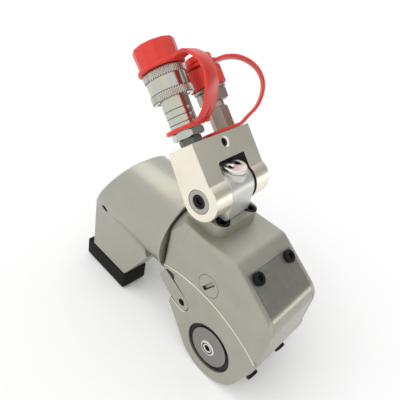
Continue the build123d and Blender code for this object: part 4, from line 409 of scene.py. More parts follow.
def tilted(side):
    """Place of a tilt pin's outer end, with Z out of the block."""
    out = TILT_WAY * side
    foot = TILT_AT + out * BLOCK_HALF * MM
    return Matrix.Translation(foot) @ Matrix((UP, out.cross(UP), out)).transposed().to_4x4()


def millimetres(place):
    """The same place for a shape drawn in millimetres."""
    return place @ Matrix.Scale(MM, 4)


def polygon(across, sides):
    """Radius of a regular polygon of that width across flats, as a function of the angle."""
    return lambda angle: across / 2 / cos((angle + pi / sides) % (tau / sides) - pi / sides)


def ring_of(bm, radius, height, steps):
    """One ring of vertices round Z, or one vertex where the radius is nothing."""
    if radius == 0:
        return [bm.verts.new((0, 0, height))] * steps
    ring = []
    for step in range(steps):
        angle = tau * step / steps
        r = radius(angle) if callable(radius) else radius
        z = height(angle) if callable(height) else height
        ring.append(bm.verts.new((r * cos(angle), r * sin(angle), z)))
    return ring


def turned(bm, rings, steps=64, loop=False):
    """Add a skin through rings round Z, each a radius and a height that may depend on the angle."""
    rows = [ring_of(bm, radius, height, steps) for radius, height in rings]
    pairs = list(zip(rows, rows[1:])) + ([(rows[-1], rows[0])] if loop else [])
    for low, high in pairs:
        for step in range(steps):
            after = (step + 1) % steps
            corners = list(dict.fromkeys((low[step], low[after], high[after], high[step])))
            if len(corners) > 2:
                bm.faces.new(corners)


def rounded(points, radius, steps=3):
    """The outline with each inner corner replaced by a short curve."""
    made = [points[0]]
    for before, corner, after in zip(points, points[1:], points[2:]):
        a = Vector(before) - Vector(corner)
        b = Vector(after) - Vector(corner)
        reach = min(radius, a.length * 0.45, b.length * 0.45)
        start = Vector(corner) + a.normalized() * reach
        end = Vector(corner) + b.normalized() * reach
        for step in range(steps + 1):
            t = step / steps
            point = start * (1 - t) ** 2 + Vector(corner) * (2 * t * (1 - t)) + end * t**2
            made.append((point.x, point.y))
    return made + [points[-1]]


def mesh_of(name, bm, place=HERE):
    """The shape as a mesh in its place, with the shape itself freed."""
    mesh = bpy.data.meshes.new(name)
    bm.to_mesh(mesh)
    bm.free()
    mesh.transform(place)
    return mesh


def linked(name, data):
    """A new object of the scene that holds the data."""
    made = bpy.data.objects.new(name, data)
    bpy.context.scene.collection.objects.link(made)
    return made


def shown(name, mesh, finish, body, nodes, sharp=32):
    """Link a finished mesh as a piece that stands for its CAD nodes."""
    mesh.shade_smooth()
    mesh.set_sharp_from_angle(angle=radians(sharp))
    if finishes[finish].name not in mesh.materials:
        mesh.materials.clear()
        mesh.materials.append(finishes[finish])
    piece = linked(name, mesh)
    if body:
        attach(piece, body)
    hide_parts(*nodes)
    return piece


def finished(name, bm, place, finish, body, nodes, sharp=32):
    """Make the piece: its mesh in place, faces outward and smooth between sharp edges, on its body."""
    bmesh.ops.remove_doubles(bm, verts=bm.verts, dist=1e-5)
    bmesh.ops.recalc_face_normals(bm, faces=bm.faces)
    return shown(name, mesh_of(name, bm, place), finish, body, nodes, sharp)


def lathed(name, place, rings, finish, body, nodes, steps=96, sharp=32):
    """Make a piece that is turned round the Z of its place, with its rings in millimetres."""
    bm = bmesh.new()
    turned(bm, rings, steps)
    return finished(name, bm, millimetres(place), finish, body, nodes, sharp)


def evaluated(piece):
    """Turn the piece's modifiers into plain mesh and take them off."""
    bpy.context.view_layer.update()
    depsgraph = bpy.context.evaluated_depsgraph_get()
    mesh = bpy.data.meshes.new_from_object(piece.evaluated_get(depsgraph))
    piece.modifiers.clear()
    piece.data = mesh
    return mesh


def machined(name, node, body, finish, edge, rim=None):
    """A merged copy of a CAD solid with its sharp edges broken, standing for the node."""
    bm = bmesh.new()
    bm.from_mesh(frame["nodes"][node].data)
    bmesh.ops.remove_doubles(bm, verts=bm.verts, dist=2e-6)
    bmesh.ops.dissolve_limit(bm, angle_limit=radians(0.6), verts=bm.verts, edges=bm.edges)
    if node == "housing":
        highlight_step(bm)
    draft = linked(name, mesh_of(name, bm))
    draft.data.materials.append(finishes[finish])
    broken = draft.modifiers.new("Edge break", "BEVEL")
    broken.limit_method = "ANGLE"
    broken.angle_limit = radians(40)
    broken.width = edge
    broken.segments = 2
    broken.loop_slide = False
    if rim:
        draft.data.materials.append(finishes[rim])
        broken.material = 1
    mesh = evaluated(draft)
    if node in ("housing", "front_cover"):
        eased(mesh)
    mesh.shade_smooth()
    mesh.set_sharp_from_angle(angle=radians(32))
    flat = draft.modifiers.new("Flat faces", "WEIGHTED_NORMAL")
    flat.keep_sharp = True
    mesh = evaluated(draft)
    bpy.data.objects.remove(draft)
    return shown(name, mesh, finish, body, [node])


def paint_shade(piece, finish, start, way, inner, outer, low, high):
    """Paint shade on a hollow round an axis, or on a ring round it where inner is more than nothing.

    Start and the distances from the axis and along it are in millimetres.
    """
    piece.data.materials.append(finishes[finish])
    for face in piece.data.polygons:
        offset = Vector(face.center) - Vector(start) * MM
        along = offset.dot(way)
        aside = offset - Vector(way) * along
        in_hollow = face.normal.dot(aside) < 0.2 * aside.length
        reached = inner * MM <= aside.length < outer * MM and low * MM < along < high * MM
        if reached and (inner > 0 or in_hollow):
            face.material_index = len(piece.data.materials) - 1


def highlight_step(bm):
    """Break the edge between the side's two levels and give it a painted highlight."""
    edges = []
    for edge in bm.edges:
        low, high = (vert.co for vert in edge.verts)
        on_level = min(abs(low.y), abs(high.y)) > STEP_HIGH * MM - 1e-5
        walls = [face.normal for face in edge.link_faces if abs(face.normal.y) < 0.3]
        if not on_level or len(walls) != 1 or low.xz.length < STEP_CLEAR * MM:
            continue
        if walls[0].z + 0.4 * walls[0].x > 0.3:
            edges.append(edge)
    bmesh.ops.bevel(
        bm, geom=edges, offset=STEP_HIGHLIGHT * MM, segments=2, affect="EDGES", clamp_overlap=False, material=1
    )


def bend_depth(at, radius):
    """Depth of a rounded bend's skin under its sharp corner, at a distance from its middle."""
    half_turn = radians(BEND_TURN)
    if abs(at) < radius * sin(half_turn):
        return radius / cos(half_turn) - (radius**2 - at**2) ** 0.5
    return abs(at) * tan(half_turn)


def eased(mesh):
    """Ease the bend between the head's slope and its front, where a forging is rounder than a plate."""
    bm = bmesh.new()
    bm.from_mesh(mesh)
    corner = BEND_AT * MM
    half_turn = radians(BEND_TURN)
    out = Vector((cos(half_turn), 0, sin(half_turn)))
    along = Vector((-sin(half_turn), 0, cos(half_turn)))
    for step in range(-BEND_CUTS, BEND_CUTS + 1):
        geometry = bm.verts[:] + bm.edges[:] + bm.faces[:]
        place = corner + along * step * BEND_CUT * MM
        bmesh.ops.bisect_plane(bm, geom=geometry, plane_co=place, plane_no=along, dist=1e-6)
    for vert in bm.verts:
        at = (vert.co - corner).dot(along)
        old = bend_depth(at, BEND_OLD * MM)
        under = -(vert.co - corner).dot(out) - old
        fade = min(1.0, max(0.0, 1 - under / (BEND_DEEP * MM)))
        vert.co -= out * (bend_depth(at, BEND_NEW * MM) - old) * fade
    bm.to_mesh(mesh)
    bm.free()


def cut(piece, bm, place):
    """Cut the shape out of the piece."""
    bmesh.ops.recalc_face_normals(bm, faces=bm.faces)
    cutter = linked("Cutter", mesh_of("Cutter", bm, place))
    boolean = piece.modifiers.new("Cut", "BOOLEAN")
    boolean.object = cutter
    boolean.solver = "EXACT"
    material = piece.data.materials[0]
    mesh = evaluated(piece)
    mesh.materials.clear()
    mesh.materials.append(material)
    mesh.set_sharp_from_angle(angle=radians(32))
    bpy.data.objects.remove(cutter)


def smooth_route(points, count):
    """Evenly spaced points on a smooth curve through the given ones."""
    full = [points[0]] + points + [points[-1]]
    dense = []
    for a, b, c, d in zip(full, full[1:], full[2:], full[3:]):
        for step in range(CURVE_STEPS):
            t = step / CURVE_STEPS
            curve = 2 * b + (c - a) * t + (2 * a - 5 * b + 4 * c - d) * t**2
            dense.append(0.5 * (curve + (3 * b - a - 3 * c + d) * t**3))
    dense.append(points[-1])
    gaps = [(q - p).length for p, q in zip(dense, dense[1:])]
    whole = sum(gaps)
    made = []
    at = 0
    run = 0.0
    for step in range(count + 1):
        goal = min(whole * step / count, whole - 1e-9)
        while run + gaps[at] < goal:
            run += gaps[at]
            at += 1
        made.append(dense[at].lerp(dense[at + 1], (goal - run) / gaps[at]))
    return made


def band(bm, middle, across, width, thickness, edge):
    """Add a flat band with rounded edges along the points; its width depends on the share of the way."""
    rows = []
    count = len(middle) - 1
    for step, point in enumerate(middle):
        way = (middle[min(step + 1, count)] - middle[max(step - 1, 0)]).normalized()
        over = way.cross(across).normalized()
        w = width(step / count) / 2
        h = thickness / 2
        e = min(edge, w * 0.9, h * 0.9)
        row = []
        for sx, sy in ((1, 1), (-1, 1), (-1, -1), (1, -1)):
            turns = (0, 0.5, 1) if sx * sy > 0 else (1, 0.5, 0)
            for t in turns:
                x = sx * (w - e + e * cos(t * pi / 2))
                y = sy * (h - e + e * sin(t * pi / 2))
                row.append(bm.verts.new(point + across * x + over * y))
        rows.append(row)
    for low, high in zip(rows, rows[1:]):
        for i in range(len(low)):
            j = (i + 1) % len(low)
            bm.faces.new((low[i], low[j], high[j], high[i]))
    bm.faces.new(rows[0])
    bm.faces.new(reversed(rows[-1]))


# Geometry node trees


def tree_of(name, sockets):
    """A geometry tree with those inputs, as (tree, the sockets that come in)."""
    tree = bpy.data.node_groups.new(name, "GeometryNodeTree")
    tree.interface.new_socket("Geometry", in_out="INPUT", socket_type="NodeSocketGeometry")
    for label, kind, value in (*sockets, ("Material", "Material", None)):
        socket = tree.interface.new_socket(label, in_out="INPUT", socket_type="NodeSocket" + kind)
        if value is not None:
            socket.default_value = value
    tree.interface.new_socket("Geometry", in_out="OUTPUT", socket_type="NodeSocketGeometry")
    return tree, add(tree, "NodeGroupInput").outputs


def end_tree(tree, given, geometry):
    """Close a tree with real geometry and its material."""
    real = add(tree, "GeometryNodeRealizeInstances", {"Geometry": geometry})
    finish = {"Geometry": real.outputs[0], "Material": given["Material"]}
    done = add(tree, "GeometryNodeSetMaterial", finish)
    add(tree, "NodeGroupOutput", {0: done.outputs[0]})
    return tree


def grown(piece, tree, values):
    """Run a geometry tree on the piece with those inputs and keep the result as plain mesh."""
    modifier = piece.modifiers.new(tree.name, "NODES")
    modifier.node_group = tree
    for label, value in values.items():
        modifier[tree.interface.items_tree[label].identifier] = value
    return evaluated(piece)


def knurl_tree():
    """Rows of small diamonds round Z, each row half a step on from the one below."""
    sizes = [("Radius", "Float", 15.0), ("Low", "Float", 0.0), ("Columns", "Int", 70), ("Rows", "Int", 8)]
    tree, given = tree_of("Knurl", [*sizes, ("Pitch", "Float", 1.2), ("Depth", "Float", 0.4)])
    known = {label: given[label] for label in ("Radius", "Low", "Columns", "Rows", "Pitch")}
    known["index"] = add(tree, "GeometryNodeInputIndex").outputs[0]
    for made, operation, first, second in (
        ("count", "MULTIPLY", "Columns", "Rows"),
        ("middle", "ADD", "index", 0.5),
        ("level", "DIVIDE", "middle", "Columns"),
        ("row", "FLOOR", "level", 0.0),
        ("column", "MODULO", "index", "Columns"),
        ("odd", "MODULO", "row", 2.0),
        ("shift", "MULTIPLY", "odd", 0.5),
        ("step", "ADD", "column", "shift"),
        ("share", "DIVIDE", "step", "Columns"),
        ("angle", "MULTIPLY", "share", tau),
        ("above", "ADD", "row", 1.0),
        ("rise", "MULTIPLY", "above", "Pitch"),
        ("half rise", "MULTIPLY", "rise", 0.5),
        ("height", "ADD", "half rise", "Low"),
        ("cosine", "COSINE", "angle", 0.0),
        ("sine", "SINE", "angle", 0.0),
        ("x", "MULTIPLY", "cosine", "Radius"),
        ("y", "MULTIPLY", "sine", "Radius"),
        ("half width", "MULTIPLY", "Pitch", 0.46),
    ):
        inputs = {0: known.get(first, first), 1: known.get(second, second)}
        known[made] = add(tree, "ShaderNodeMath", inputs, operation=operation).outputs[0]
    spot = add(tree, "ShaderNodeCombineXYZ", {"X": known["x"], "Y": known["y"], "Z": known["height"]})
    points = add(tree, "GeometryNodePoints", {"Count": known["count"], "Position": spot.outputs[0]})
    cone = {"Vertices": 4, "Radius Top": 0.0, "Radius Bottom": known["half width"], "Depth": given["Depth"]}
    diamond = add(tree, "GeometryNodeMeshCone", cone)
    turn = add(tree, "ShaderNodeCombineXYZ", {"X": 0.0, "Y": pi / 2, "Z": known["angle"]})
    facing = add(tree, "FunctionNodeEulerToRotation", {"Euler": turn.outputs[0]})
    inputs = {"Points": points.outputs[0], "Instance": diamond.outputs["Mesh"], "Rotation": facing.outputs[0]}
    placed = add(tree, "GeometryNodeInstanceOnPoints", inputs)
    return end_tree(tree, given, placed.outputs[0])


def screw_tree():
    """One socket screw at each point that comes in, facing along the point's way and turned at random."""
    sockets = [("Screw", "Object", None), ("Scale", "Float", 1.0), ("Seed", "Int", 3)]
    tree, given = tree_of("Socket Screws", sockets)
    screw = add(tree, "GeometryNodeObjectInfo", {"Object": given["Screw"]})
    way = add(tree, "GeometryNodeInputNamedAttribute", {"Name": "way"}, data_type="FLOAT_VECTOR")
    facing = add(tree, "FunctionNodeAlignRotationToVector", {"Vector": way.outputs[0]}, axis="Z")
    limits = {"Min": 0.0, "Max": tau, "Seed": given["Seed"]}
    spun = add(tree, "FunctionNodeRandomValue", limits, data_type="FLOAT")
    spin = add(tree, "ShaderNodeCombineXYZ", {"Z": spun.outputs["Value"]})
    spin_turn = add(tree, "FunctionNodeEulerToRotation", {"Euler": spin.outputs[0]})
    inputs = {"Rotation": facing.outputs[0], "Rotate By": spin_turn.outputs[0]}
    turn = add(tree, "FunctionNodeRotateRotation", inputs, rotation_space="LOCAL")
    inputs = {
        "Points": given["Geometry"],
        "Instance": screw.outputs["Geometry"],
        "Rotation": turn.outputs[0],
        "Scale": given["Scale"],
    }
    placed = add(tree, "GeometryNodeInstanceOnPoints", inputs)
    return end_tree(tree, given, placed.outputs[0])


def socket_screw(head, height, socket, shank, reach):
    """Draft of one cap screw, sized in millimetres, its head's seat at Z nothing and its head up."""
    bm = bmesh.new()
    side = rounded([(shank, 0), (head, 0), (head, height), (0, height)], 0.7)[:-1]
    tip = [(0, -reach), (shank - 0.4, -reach), (shank, -reach + 0.4)]
    hole = [(polygon(socket, 6), height - 0.25), (polygon(socket, 6), height * 0.35), (0, height * 0.25)]
    turned(bm, [*tip, *side, (socket * 0.66, height), *hole], 48)
    bmesh.ops.remove_doubles(bm, verts=bm.verts, dist=1e-4)
    bmesh.ops.recalc_face_normals(bm, faces=bm.faces)
    return linked("Screw draft", mesh_of("Screw draft", bm, millimetres(HERE)))


def screws(name, draft, spots, tree, body, nodes):
    """A piece of several screws, each spot a place and a way out of it, in millimetres."""
    mesh = bpy.data.meshes.new(name)
    mesh.from_pydata([[c * MM for c in place] for place, _ in spots], [], [])
    way = mesh.attributes.new("way", "FLOAT_VECTOR", "POINT")
    way.data.foreach_set("vector", [c for _, out in spots for c in out])
    points = linked(name, mesh)
    mesh = grown(points, tree, {"Screw": draft, "Seed": 3, "Material": finishes["black_oxide"]})
    bpy.data.objects.remove(points)
    bpy.data.objects.remove(draft)
    return shown(name, mesh, "black_oxide", body, nodes)


# Operators


class WRENCH_OT_finishes(bpy.types.Operator):
    """Make every finish and give each CAD node the one of its slot"""

    bl_idname = "wrench.finishes"
    bl_label = "Finishes"

    def execute(self, context):
        scene = context.scene
        finishes.clear()
        finishes.update(make_finishes(scene.wrench_colours, scene.wrench_sizes))
        train = ["pawl_carrier", "drive_pawl", "ratchet", "reaction_pawl"]
        inside = {
            "seal_rubber": ["end_cap_seal", "rod_seal", "piston_seal", "bush_seals"],
            "bronze": ["drive_bushes", "rod_gland"],
            "spring_steel": ["pawl_springs", "reaction_pawl_spring"],
            "hardened_steel": ["drive_plates", *train, "carrier_dowels"],
            "zinc_plate": ["male_nipple", "female_poppet", "male_poppet"],
        }
        slots = {node: slot for slot, nodes in inside.items() for node in nodes}
        for name, node in frame["nodes"].items():
            slot = slots.get(name, "turned_steel")
            node.data.materials.clear()
            node.data.materials.append(finishes[slot])
        return {"FINISHED"}


class WRENCH_OT_machined(bpy.types.Operator):
    """Build the machined pieces with their edges broken, painted highlights on some broken edges and painted
    shade in their hollows
    """

    bl_idname = "wrench.machined"
    bl_label = "Machined Pieces"

    def execute(self, context):
        edge = context.scene.wrench_sizes.edge_break
        screw_turn = radians(ARM_SCREW_TURN)
        screw_way = Vector((0, -cos(screw_turn), -sin(screw_turn)))
        # Start, way, inner and outer radius, and low and high end of each hollow's faces with painted shade
        hollows = {
            "manifold_block": (TILT_AT / MM, TILT_WAY, 0, 25.0, -SLOT_HALF, SLOT_HALF),
            "reaction_arm": (ARM_SCREW_AT, screw_way, 0, 4.3, 10, 60),
            "rod_pin_plug": (PLUG_AT, NEAR, 0, 7.2, 30, 33.1),
        }
        # The last column is the finish of the broken edges: painted highlight on the head, arm and levers,
        # painted shade round the rod pin plug
        for name, node, body, finish, share, rim in (
            ("Head_Housing", "housing", "head", "blasted_steel", 1.0, "rubbed_edge"),
            ("Front_Cover", "front_cover", "head", "cover_steel", 0.8, None),
            ("Rod_Pin_Plug", "rod_pin_plug", "head", "blasted_steel", 1.0, "slot_steel"),
            ("Swivel_Flange", "swivel_flange", "head", "blasted_steel", 1.4, None),
            ("Swivel_Body", "swivel_body", "swivel", "swivel_steel", 1.4, None),
            ("Manifold_Block", "manifold_block", "manifold", "block_steel", 1.2, None),
            ("Reaction_Arm", "reaction_arm", "arm", "arm_steel", 1.2, "rubbed_edge"),
            ("Arm_Set_Screw", "arm_set_screw", "arm", "black_oxide", 0.5, None),
            ("Near_Lever", "near_lever", "holding_pawl", "arm_steel", 1.0, "rubbed_edge"),
            ("Far_Lever", "far_lever", "holding_pawl", "arm_steel", 1.0, "rubbed_edge"),
            ("Reaction_Pawl_Pin", "reaction_pawl_pin", "holding_pawl", "black_oxide", 1.6, "turned_steel"),
            ("Square_Drive", "square_drive", "drive", "turned_steel", 1.0, None),
            ("Drive_Retainer", "drive_retainer", "retainer", "hardened_steel", 0.8, None),
            ("Passage_Plug", "passage_plug", "manifold", "black_oxide", 0.8, "turned_steel"),
        ):
            piece = machined(name, node, body, finish, edge * share, rim)
            if node in hollows:
                paint_shade(piece, "slot_steel", *hollows[node])
        return {"FINISHED"}


class WRENCH_OT_springs(bpy.types.Operator):
    """Build the pawls' springs as copies of their CAD nodes"""

    bl_idname = "wrench.springs"
    bl_label = "Springs"

    def execute(self, context):
        out = axis("drive_pawl_lift")
        for name, node, pawl, seat, foot, top in (
            ("Pawl_Springs", "pawl_springs", "pawl", "crank", out * 30.0, out * 37.3),
            (
                "Reaction_Pawl_Spring",
                "reaction_pawl_spring",
                "holding_pawl",
                "head",
                SPRING_AT + UP * 26.5,
                SPRING_AT + UP * 41.5,
            ),
        ):
            piece = shown(name, frame["nodes"][node].data.copy(), "spring_steel", None, [node])
            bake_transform(piece)
        return {"FINISHED"}


class WRENCH_OT_screws(bpy.types.Operator):
    """Build the socket screws of the cover, the flange and the tilt pins"""

    bl_idname = "wrench.screws"
    bl_label = "Socket Screws"

    def execute(self, context):
        sizes = context.scene.wrench_sizes
        tree = screw_tree()
        slope = Vector((sin(radians(COVER_SLOPE)), 0, cos(radians(COVER_SLOPE))))
        spread = [Vector((0, side * COVER_SPREAD, 0)) for side in SIDES]
        cover = [(COVER_SEAT + aside, slope) for aside in spread]
        low_cover = [(LOW_COVER_SEAT + aside, LOW_COVER_WAY) for aside in spread]
        corners = [Vector((x * FLANGE_ALONG, y * FLANGE_ACROSS, 0)) for x in SIDES for y in SIDES]
        flange = [(FLANGE_SEAT + corner, UP) for corner in corners]
        seat = BLOCK_HALF - PIN_SINK
        pins = [(TILT_AT / MM + TILT_WAY * side * seat, TILT_WAY * side) for side in SIDES]
        cover_head = sizes.screw_head / MM
        flange_head = sizes.flange_head / MM
        for name, spots, head, height, socket, shank, reach, body, nodes in (
            ("Cover_Screws", cover, cover_head, 3.2, 5.0, 2.9, 7.0, "head", ["cover_screws"]),
            ("Low_Cover_Screws", low_cover, cover_head, 4.8, 5.0, 2.9, 7.0, "head", []),
            ("Flange_Screws", flange, flange_head, 5.2, 5.0, 2.9, 13.5, "head", ["flange_screws"]),
            ("Tilt_Pin_Screws", pins, 5.3, 2.2, 5.6, 3.0, 4.0, "manifold", []),
        ):
            screws(name, socket_screw(head, height, socket, shank, reach), spots, tree, body, nodes)
        return {"FINISHED"}


class WRENCH_OT_turned(bpy.types.Operator):
    """Build the turned pieces: tilt pins, swivel cap and the drive's button"""

    bl_idname = "wrench.turned"
    bl_label = "Turned Pieces"

    def execute(self, context):
        bm = bmesh.new()
        for side in SIDES:
            part = bmesh.new()
            rim = rounded([(6, -4), (9.0, -4), (9.0, 0), (5.6, 0), (5.4, -3.2), (0, -3.2)], 0.35)
            turned(part, [(0, -24), (6, -24), *rim], 72)
            mesh = mesh_of("Pin", part, millimetres(tilted(side)))
            bm.from_mesh(mesh)
            bpy.data.meshes.remove(mesh)
        finished("Tilt_Pins", bm, HERE, "turned_steel", "manifold", ["tilt_pins"])

        middle = pivot("swivel_turn")
        turn = Matrix.Rotation(atan2(-TILT_WAY.x, TILT_WAY.y), 4, "Z")
        place = Matrix.Translation((middle.x, middle.y, CAP_SEAT * MM)) @ turn
        rim = rounded([(4, 0), (10.3, 0), (10.3, 3.2), (8.6, 3.2)], 0.7)
        rings = [(0, 2.2), (4, 2.2), *rim, (0, 3.2)]
        cap = lathed("Swivel_Cap", place, rings, "chrome_plate", "head", ["swivel_cap"])
        for side in SIDES:
            hole = bmesh.new()
            turned(hole, [(0, 1.0), (1.8, 1.0), (1.8, 2.6), (3.0, 3.3), (0, 3.3)], 32)
            hole_place = place @ Matrix.Translation((0, side * CAP_HOLE * MM, 0))
            cut(cap, hole, millimetres(hole_place))
            # Painted shade in the spanner holes
            paint_shade(cap, "slot_steel", hole_place.translation / MM, UP, 0, 2.9, 0.5, 3.15)

        rim = rounded([(8.2, -0.6), (8.2, 0.85), (7.0, 0.85), (7.0, 1.9), (6.4, 2.4), (5.3, 2.4)], 0.4)
        socket = polygon(4.6, 6)
        recess = [(5.0, 1.7), (4.5, 1.7), (4.2, 2.3), (3.2, 2.3), (2.9, 2.0), (socket, 1.9), (socket, 0.4)]
        rings = [(0, -0.05), (8.2, -0.05), *rim[4:], *recess, (0, 0.4)]
        place = Matrix.Translation(NEAR * BUTTON_SEAT * MM) @ Matrix.Rotation(pi / 2, 4, "X")
        button = lathed("Retainer_Button", place, rings, "chrome_plate", "button", ["retainer_button"], 72)
        # Painted shade in the button's socket and in the groove round it
        paint_shade(button, "black_oxide", (0, 0, 0), NEAR, 0, 2.8, 32.0, 34.55)
        paint_shade(button, "black_oxide", (0, 0, 0), NEAR, 4.4, 5.3, 34.0, 34.7)
        return {"FINISHED"}


class WRENCH_OT_couplers(bpy.types.Operator):
    """Build the hose couplers with chamfered hexagons, grooves and a knurled sleeve"""

    bl_idname = "wrench.couplers"
    bl_label = "Couplers"

    def nut(self, across, low, high):
        """Rings of a hexagon with chamfered corners between two heights."""
        flat = across / 2 * 0.985
        radius = polygon(across, 6)
        return [
            (flat, low),
            (radius, lambda angle: low + (radius(angle) - flat) * 0.58),
            (radius, lambda angle: high - (radius(angle) - flat) * 0.58),
            (flat, high),
        ]

    def adapter(self, name, place, high, finish, nodes):
        """Build the hexagon adapter that screws into the block under a coupler."""
        rings = [(0, -12), (6.5, -12), (6.5, 0), *self.nut(15.0, 0.0, high), (0, high)]
        lathed(name, place, rings, finish, "manifold", nodes, 72)

    def sleeve(self, sizes):
        """Build the female's knurled sleeve."""
        bm = bmesh.new()
        waist = [(SLEEVE, WAIST_LOW), (WAIST, WAIST_LOW + 0.1)]
        waist += [(WAIST, WAIST_HIGH - 0.1), (SLEEVE, WAIST_HIGH)]
        foot = [(12.5, 34.0), (14.9, 34.0), (SLEEVE, 34.2)]
        turned(bm, [*foot, *waist, (SLEEVE, 54.8), (14.9, 55.0), (12.5, 55.0)], 96, loop=True)
        bmesh.ops.recalc_face_normals(bm, faces=bm.faces)
        # The bands' skin between the diamonds gets painted shade
        for face in bm.faces:
            at = face.calc_center_median()
            if at.xy.length > SLEEVE - 0.15 and not WAIST_LOW + 0.05 <= at.z <= WAIST_HIGH - 0.05:
                face.material_index = 1
        tree = knurl_tree()
        pitch = sizes.knurl_pitch / MM
        depth = sizes.knurl_depth / MM
        for low in KNURL_BANDS:
            draft = linked("Knurl draft", bpy.data.meshes.new("Knurl draft"))
            values = {
                "Radius": SLEEVE - 0.02 + depth / 2,
                "Low": low,
                "Columns": round(tau * SLEEVE / pitch),
                "Rows": int(KNURL_BAND / pitch * 2) - 1,
                "Pitch": pitch,
                "Depth": depth,
                "Material": finishes["knurled_zinc"],
            }
            plain = len(bm.faces)
            bm.from_mesh(grown(draft, tree, values))
            for face in list(bm.faces)[plain:]:
                face.material_index = 2
            bpy.data.objects.remove(draft)
        mesh = mesh_of("Female_Sleeve", bm, millimetres(coupler(-1)))
        for finish in ("zinc_plate", "knurl_valley", "knurled_zinc"):
            mesh.materials.append(finishes[finish])
        shown("Female_Sleeve", mesh, "zinc_plate", "sleeve", ["female_sleeve"], 30)

    def execute(self, context):
        female = coupler(-1)
        male = coupler(1)
        self.adapter("Female_Adapter", female, 5.0, "adapter_steel", ["female_adapter"])
        barrel = [(10.3, 10.6)]
        for low in GROOVES:
            barrel += [(10.3, low), (9.95, low + 0.1), (9.95, low + GROOVE - 0.1), (10.3, low + GROOVE)]
        barrel += [(10.3, 34.6), (12.4, 34.6), (12.4, 54.6), (8.6, 54.6), (8.6, 38.6), (0, 38.6)]
        rings = [(0, 5.0), *self.nut(21.5, 5.0, 10.6), *rounded(barrel, 0.12, 2)]
        fitting = lathed("Female_Body", female, rings, "zinc_plate", "manifold", ["female_body"])
        # Painted shade in the barrel's grooves
        for low in GROOVES:
            start = female.translation / MM
            paint_shade(fitting, "knurl_valley", start, axis("sleeve_turn"), 9.7, 10.29, low, low + GROOVE)
        self.sleeve(context.scene.wrench_sizes)

        self.adapter("Male_Adapter", male, 19.5, "satin_steel", ["male_adapter"])
        ring = rounded([(10.3, 33.0), (12.8, 33.0), (12.8, 35.4), (0, 35.4)], 0.5)
        rings = [(0, 19.5), (7.0, 19.5), (7.0, 24.0), *self.nut(21.0, 24.0, 33.0), *ring]
        lathed("Male_Body", male, rings, "satin_steel", "manifold", ["male_body"])
        return {"FINISHED"}


class WRENCH_OT_caps(bpy.types.Operator):
    """Build the two red dust caps"""

    bl_idname = "wrench.caps"
    bl_label = "Dust Caps"

    def execute(self, context):
        facets = context.scene.wrench_sizes.cap_facets
        ribs = context.scene.wrench_sizes.cap_ribs

        def soft(radius, share):
            """Radius of a soft many-sided wall, slightly out of round as a moulding is."""
            flat = polygon(2 * radius, facets)
            return lambda angle: (
                radius + (flat(angle) - radius) * share + 0.12 * sin(2 * angle + 0.6) + 0.08 * sin(3 * angle)
            )

        def ribbed(radius, depth):
            """Radius of a wall with rounded grooves between flat ribs."""
            return lambda angle: radius - depth * max(0.0, cos(ribs * angle)) ** 1.5

        plug = [(0, 47.2), (7.9, 47.2), (8.4, 47.8), (8.4, 55.5)]
        flange = [(16.4, 55.5), (17.2, 55.8), (17.5, 56.6), (17.5, 57.6), (17.1, 58.5), (16.2, 59.0)]
        crown = [
            (soft(15.0, 0.6), 59.3),
            (soft(14.8, 1.0), 60.2),
            (soft(14.9, 1.0), 66.0),
            (soft(15.1, 1.0), 71.6),
            (soft(15.0, 1.0), 72.8),
            (soft(14.4, 0.9), 73.4),
            (soft(13.4, 0.8), 73.6),
            (soft(12.2, 0.8), 73.5),
            (0, 73.3),
        ]
        rings = plug + flange + crown
        lathed("Female_Cap", coupler(-1), rings, "red_plastic", "pressure_cap", ["female_cap"], 144, 26)

        skirt = [
            (9.5, 35.8),
            (ribbed(13.6, 0.8), 35.8),
            (ribbed(14.2, 1.0), 36.2),
            (ribbed(14.4, 1.1), 37.0),
            (ribbed(14.4, 1.1), 48.4),
            (ribbed(14.2, 0.8), 49.6),
        ]
        neck = [(13.4, 50.3), (12.4, 50.4), (9.9, 50.5), (9.4, 51.0), (9.4, 55.2), (9.8, 55.6), (10.4, 55.8)]
        knob = [(10.8, 56.4), (10.8, 59.4), (10.4, 60.4), (9.4, 61.0), (0, 60.8)]
        rings = skirt + neck + knob
        lathed("Male_Cap", coupler(1), rings, "red_plastic", "return_cap", ["male_cap"], 168, 30)
        return {"FINISHED"}


